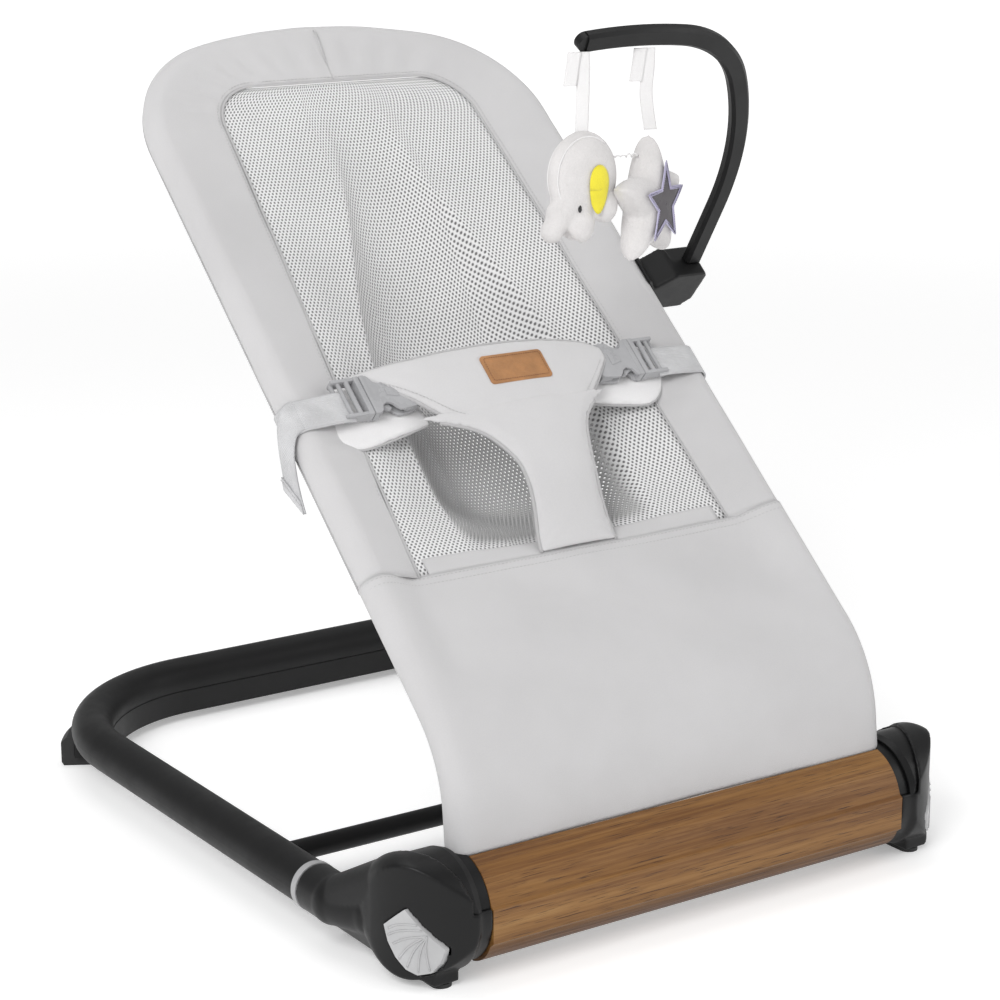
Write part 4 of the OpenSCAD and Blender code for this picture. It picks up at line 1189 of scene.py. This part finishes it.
def star():
    centre = Vector((HANG["star"].x, HANG["star"].y, TOY_TOP - STAR_R))

    def at_point(u, z, d):
        return centre + u * STAR_U + Vector((0, 0, z)) + d * STAR_N

    spokes, rings = 100, 16
    verts, faces = [], []
    for face_side in (1, -1):
        for i in range(rings + 1):
            k = i / rings
            for j in range(spokes):
                a = 2 * math.pi * j / spokes
                r = star_radius(a) * k
                verts.append(at_point(r * math.sin(a), r * math.cos(a), face_side * star_height(k)))
    block = (rings + 1) * spokes
    for b in (0, 1):
        for i in range(rings):
            for j in range(spokes):
                p, q = b * block + i * spokes + j, b * block + i * spokes + (j + 1) % spokes
                faces.append((p, q, q + spokes, p + spokes) if b else (p, p + spokes, q + spokes, q))
    body = mesh_object("star_body", verts, faces)
    puff(body, 0.0024, 5.0, 0.0028)
    dress(body, "toy_plush", "toy_star", replaces=["star"])

    def face_point(u, z, lift):
        k = min(0.98, math.hypot(u, z) / star_radius(math.atan2(u, z)))
        return at_point(u, z, star_height(k) + lift)

    tip, dent = 0.0298, 0.0128
    outline = []
    for k in range(10):
        a, b = 2 * math.pi * k / 10, 2 * math.pi * (k + 1) / 10
        ra, rb = (tip, dent) if k % 2 == 0 else (dent, tip)
        for j in range(8):
            u = mix(ra * math.sin(a), rb * math.sin(b), j / 8)
            outline.append((u, mix(ra * math.cos(a), rb * math.cos(b), j / 8)))
    outline.append(outline[0])
    lift = 0.0034
    shares = [max(0.001, i / 10) for i in range(11)]
    rows = [[face_point(u * k, z * k, lift) for u, z in outline] for k in shares]
    patch = grid("star_foil", rows, 0.0008)
    dress(patch, "star_print", "toy_star", replaces=["star_patch"])
    zig = []
    for k, (u, z) in enumerate(outline):
        u2, z2 = outline[min(k + 1, len(outline) - 1)]
        for part in range(3):
            grow = 1.0 + (0.085 if (k * 3 + part) % 2 else -0.02)
            zig.append(face_point(mix(u, u2, part / 3) * grow, mix(z, z2, part / 3) * grow, lift + 0.0007))
    dress(sweep("star_zigzag", zig, ring(0.00055, 5), STAR_N), "star_print", "toy_star", "star_border")
    edge = [face_point(u * 1.03, z * 1.03, lift + 0.0003) for u, z in outline]
    band = sweep("star_edge_band", edge, ribbon(0.0028, 0.0008), STAR_N)
    dress(band, "star_print", "toy_star", "star_border")


TAPE_W = 0.0102


def tape(name, sway):
    """Woven tape from the arm to a toy, and the loose end beside it."""
    hang = HANG[name]
    wide = Vector((0.93, -0.30, 0)).normalized() * TAPE_W
    knots = [hang + Vector(v) for v in ((0, 0, -0.0085), (sway[0], 0, -0.023), (sway[1], 0, -0.043))]
    knots.append(Vector((hang.x + sway[2], hang.y, TOY_TOP - 0.004)))
    run = grid(name + "_ribbon", band_rows(curve_points(knots, 40), wide, 6), 0.0009, offset=0.0)
    dress(run, "toy_tape", "toy_" + name, replaces=[name + "_tape"])
    drops = ((-0.007, 0.001, -0.0085), (-0.008, 0.002, -0.020), (-0.0105, 0.002, -0.033))
    end = [hang + Vector(v) for v in drops]
    spare = grid(name + "_ribbon_end", band_rows(curve_points(end, 20), wide, 6), 0.0009, offset=0.0)
    dress(spare, "toy_tape", "arm")


elephant()
star()
tape("elephant", (0.0005, 0.0, -0.001))
tape("star", (-0.0005, -0.002, 0.0025))

# Thread between the toys: a long slack twist
line = []
for k in range(40):
    t = k / 39
    a = t * 2 * math.pi * 5
    base = Vector((mix(0.056, 0.081, t), HANG["star"].y - 0.002, TOY_TOP - 0.0215))
    line.append(base + Vector((0, 0.0008 * math.cos(a), 0.0008 * math.sin(a) * (1.6 if t > 0.55 else 0.6))))
link = sweep("toy_thread", line, ring(0.00065, 6), (0, 0, 1))
dress(link, "toy_tape", "toy_star", replaces=["toy_link"])

# ---------------------------------------------------------------- ribs on the release buttons

HUB_X = 0.248
CORNER_X, CORNER_Y, CORNER_R = 0.176, HUB.y + 0.026, 0.0725


def cap_surface(side, y, z, lift):
    """Outer surface of a button, which follows the rounded hub and its round front corner."""
    rho = math.hypot(y - HUB.y, z - HUB.z)
    fillet, r = 0.017, 0.045
    over = max(0.0, rho - (r - fillet))
    x = HUB_X - fillet + math.sqrt(max(0.0, fillet ** 2 - over ** 2))
    if y < CORNER_Y:
        x = min(x, CORNER_X + math.sqrt(max(0.0, CORNER_R ** 2 - (y - CORNER_Y) ** 2)))
    return Vector((side * (x + lift), y, z))


RIB_ROOT = (-0.0243, -0.0068)
RIB_ENDS = [(-0.0035, -0.0160), (-0.0075, -0.0260), (-0.0130, -0.0310), (-0.0195, -0.0335), (-0.0255, -0.0315)]
EDGE_LINES = [((0.0000, -0.0055), (-0.0190, 0.0005)), ((0.0005, -0.0105), (-0.0215, -0.0030))]


def rib(side, start, end, bend):
    """Thin raised line on the button between two points, given from the hub's axis."""
    pts = []
    for j in range(14):
        t = j / 13
        swell = bend * math.sin(math.pi * t)
        y = HUB.y + mix(start[0], end[0], t) + swell
        z = HUB.z + mix(start[1], end[1], t) + swell
        pts.append(cap_surface(side, y, z, 0.0001))
    return sweep("rib", pts, ring(0.0008, 6, 0.8), (side, 0, 0))


for key, side in (("l", -1), ("r", 1)):
    ribs = [rib(side, RIB_ROOT, end, 0.0012) for end in RIB_ENDS]
    ribs += [rib(side, start, end, 0.0015) for start, end in EDGE_LINES]
    dress(join("button_ribs_" + key, ribs), "button_grey", "button_" + key)

# ---------------------------------------------------------------- CAD nodes that stay

for part in frame["record"]["subparts"]:
    node = frame["nodes"][part["node"]]
    node.data.materials.clear()
    node.data.materials.append(MAT[part["material_slot"]])

for name in ("hub_outer_shell_l", "hub_outer_shell_r", "arm_clip"):
    node = frame["nodes"][name]
    modify(node, "round_off", "REMESH", mode="VOXEL", voxel_size=0.0013, use_smooth_shade=True)
    modify(node, "soften", "SMOOTH", factor=0.5, iterations=4)

# ---------------------------------------------------------------- floor, light and camera

floor_mat = Shader("floor", (0.90, 0.90, 0.90), 0.6, Specular_IOR_Level=0.2, Emission_Strength=0.30)
floor_x, floor_y, _ = floor_mat.split(floor_mat.place("Object"))
away = floor_mat.math("SQRT", floor_mat.plus(floor_mat.times(floor_x, floor_x), floor_mat.times(floor_y, floor_y)))
floor_mat.feed(floor_mat.bsdf.inputs["Emission Strength"], floor_mat.between(away, 1.2, 5.0, 0.30, 0.70))
floor_mat.bsdf.inputs["Emission Color"].default_value = (1, 1, 1, 1)
floor_mat.bump([(floor_mat.noise(floor_mat.place("Object"), 300, 2), 0.02)], 0.0005)
bpy.ops.mesh.primitive_plane_add(size=120)
floor = bpy.context.object
floor.name = "studio_floor"
floor.data.materials.append(floor_mat.mat)

world = bpy.data.worlds.new("studio")
bpy.context.scene.world = world
world.use_nodes = True
world.node_tree.nodes["Background"].inputs[0].default_value = (1.0, 1.0, 1.0, 1)
world.node_tree.nodes["Background"].inputs[1].default_value = 0.50


def aim(obj, at, to):
    """Put a light or the camera at a point and turn it towards another."""
    bpy.context.collection.objects.link(obj)
    obj.location = at
    obj.rotation_euler = (Vector(to) - obj.location).to_track_quat("-Z", "Y").to_euler()


def area(name, at, to, size, power):
    light = bpy.data.lights.new(name, "AREA")
    light.shape = "RECTANGLE"
    light.size, light.size_y = size
    light.energy = power
    aim(bpy.data.objects.new(name, light), at, to)


area("key", (-2.0, -1.3, 2.0), (0, 0, 0.25), (1.3, 1.3), 46)
area("fill", (1.9, -1.6, 1.2), (0, 0, 0.3), (1.4, 1.4), 12)
area("top", (0.1, 0.7, 2.6), (0, 0, 0.2), (2.0, 1.4), 13)

camera = bpy.data.cameras.new("camera")
camera.lens = 94.84
camera.sensor_width = 36
camera.clip_end = 200
camera_obj = bpy.data.objects.new("camera", camera)
aim(camera_obj, (-1.1057, -1.6711, 0.7785), (0.0241, -0.0095, 0.244))
bpy.context.scene.camera = camera_obj
bpy.context.scene.view_settings.view_transform = "Standard"
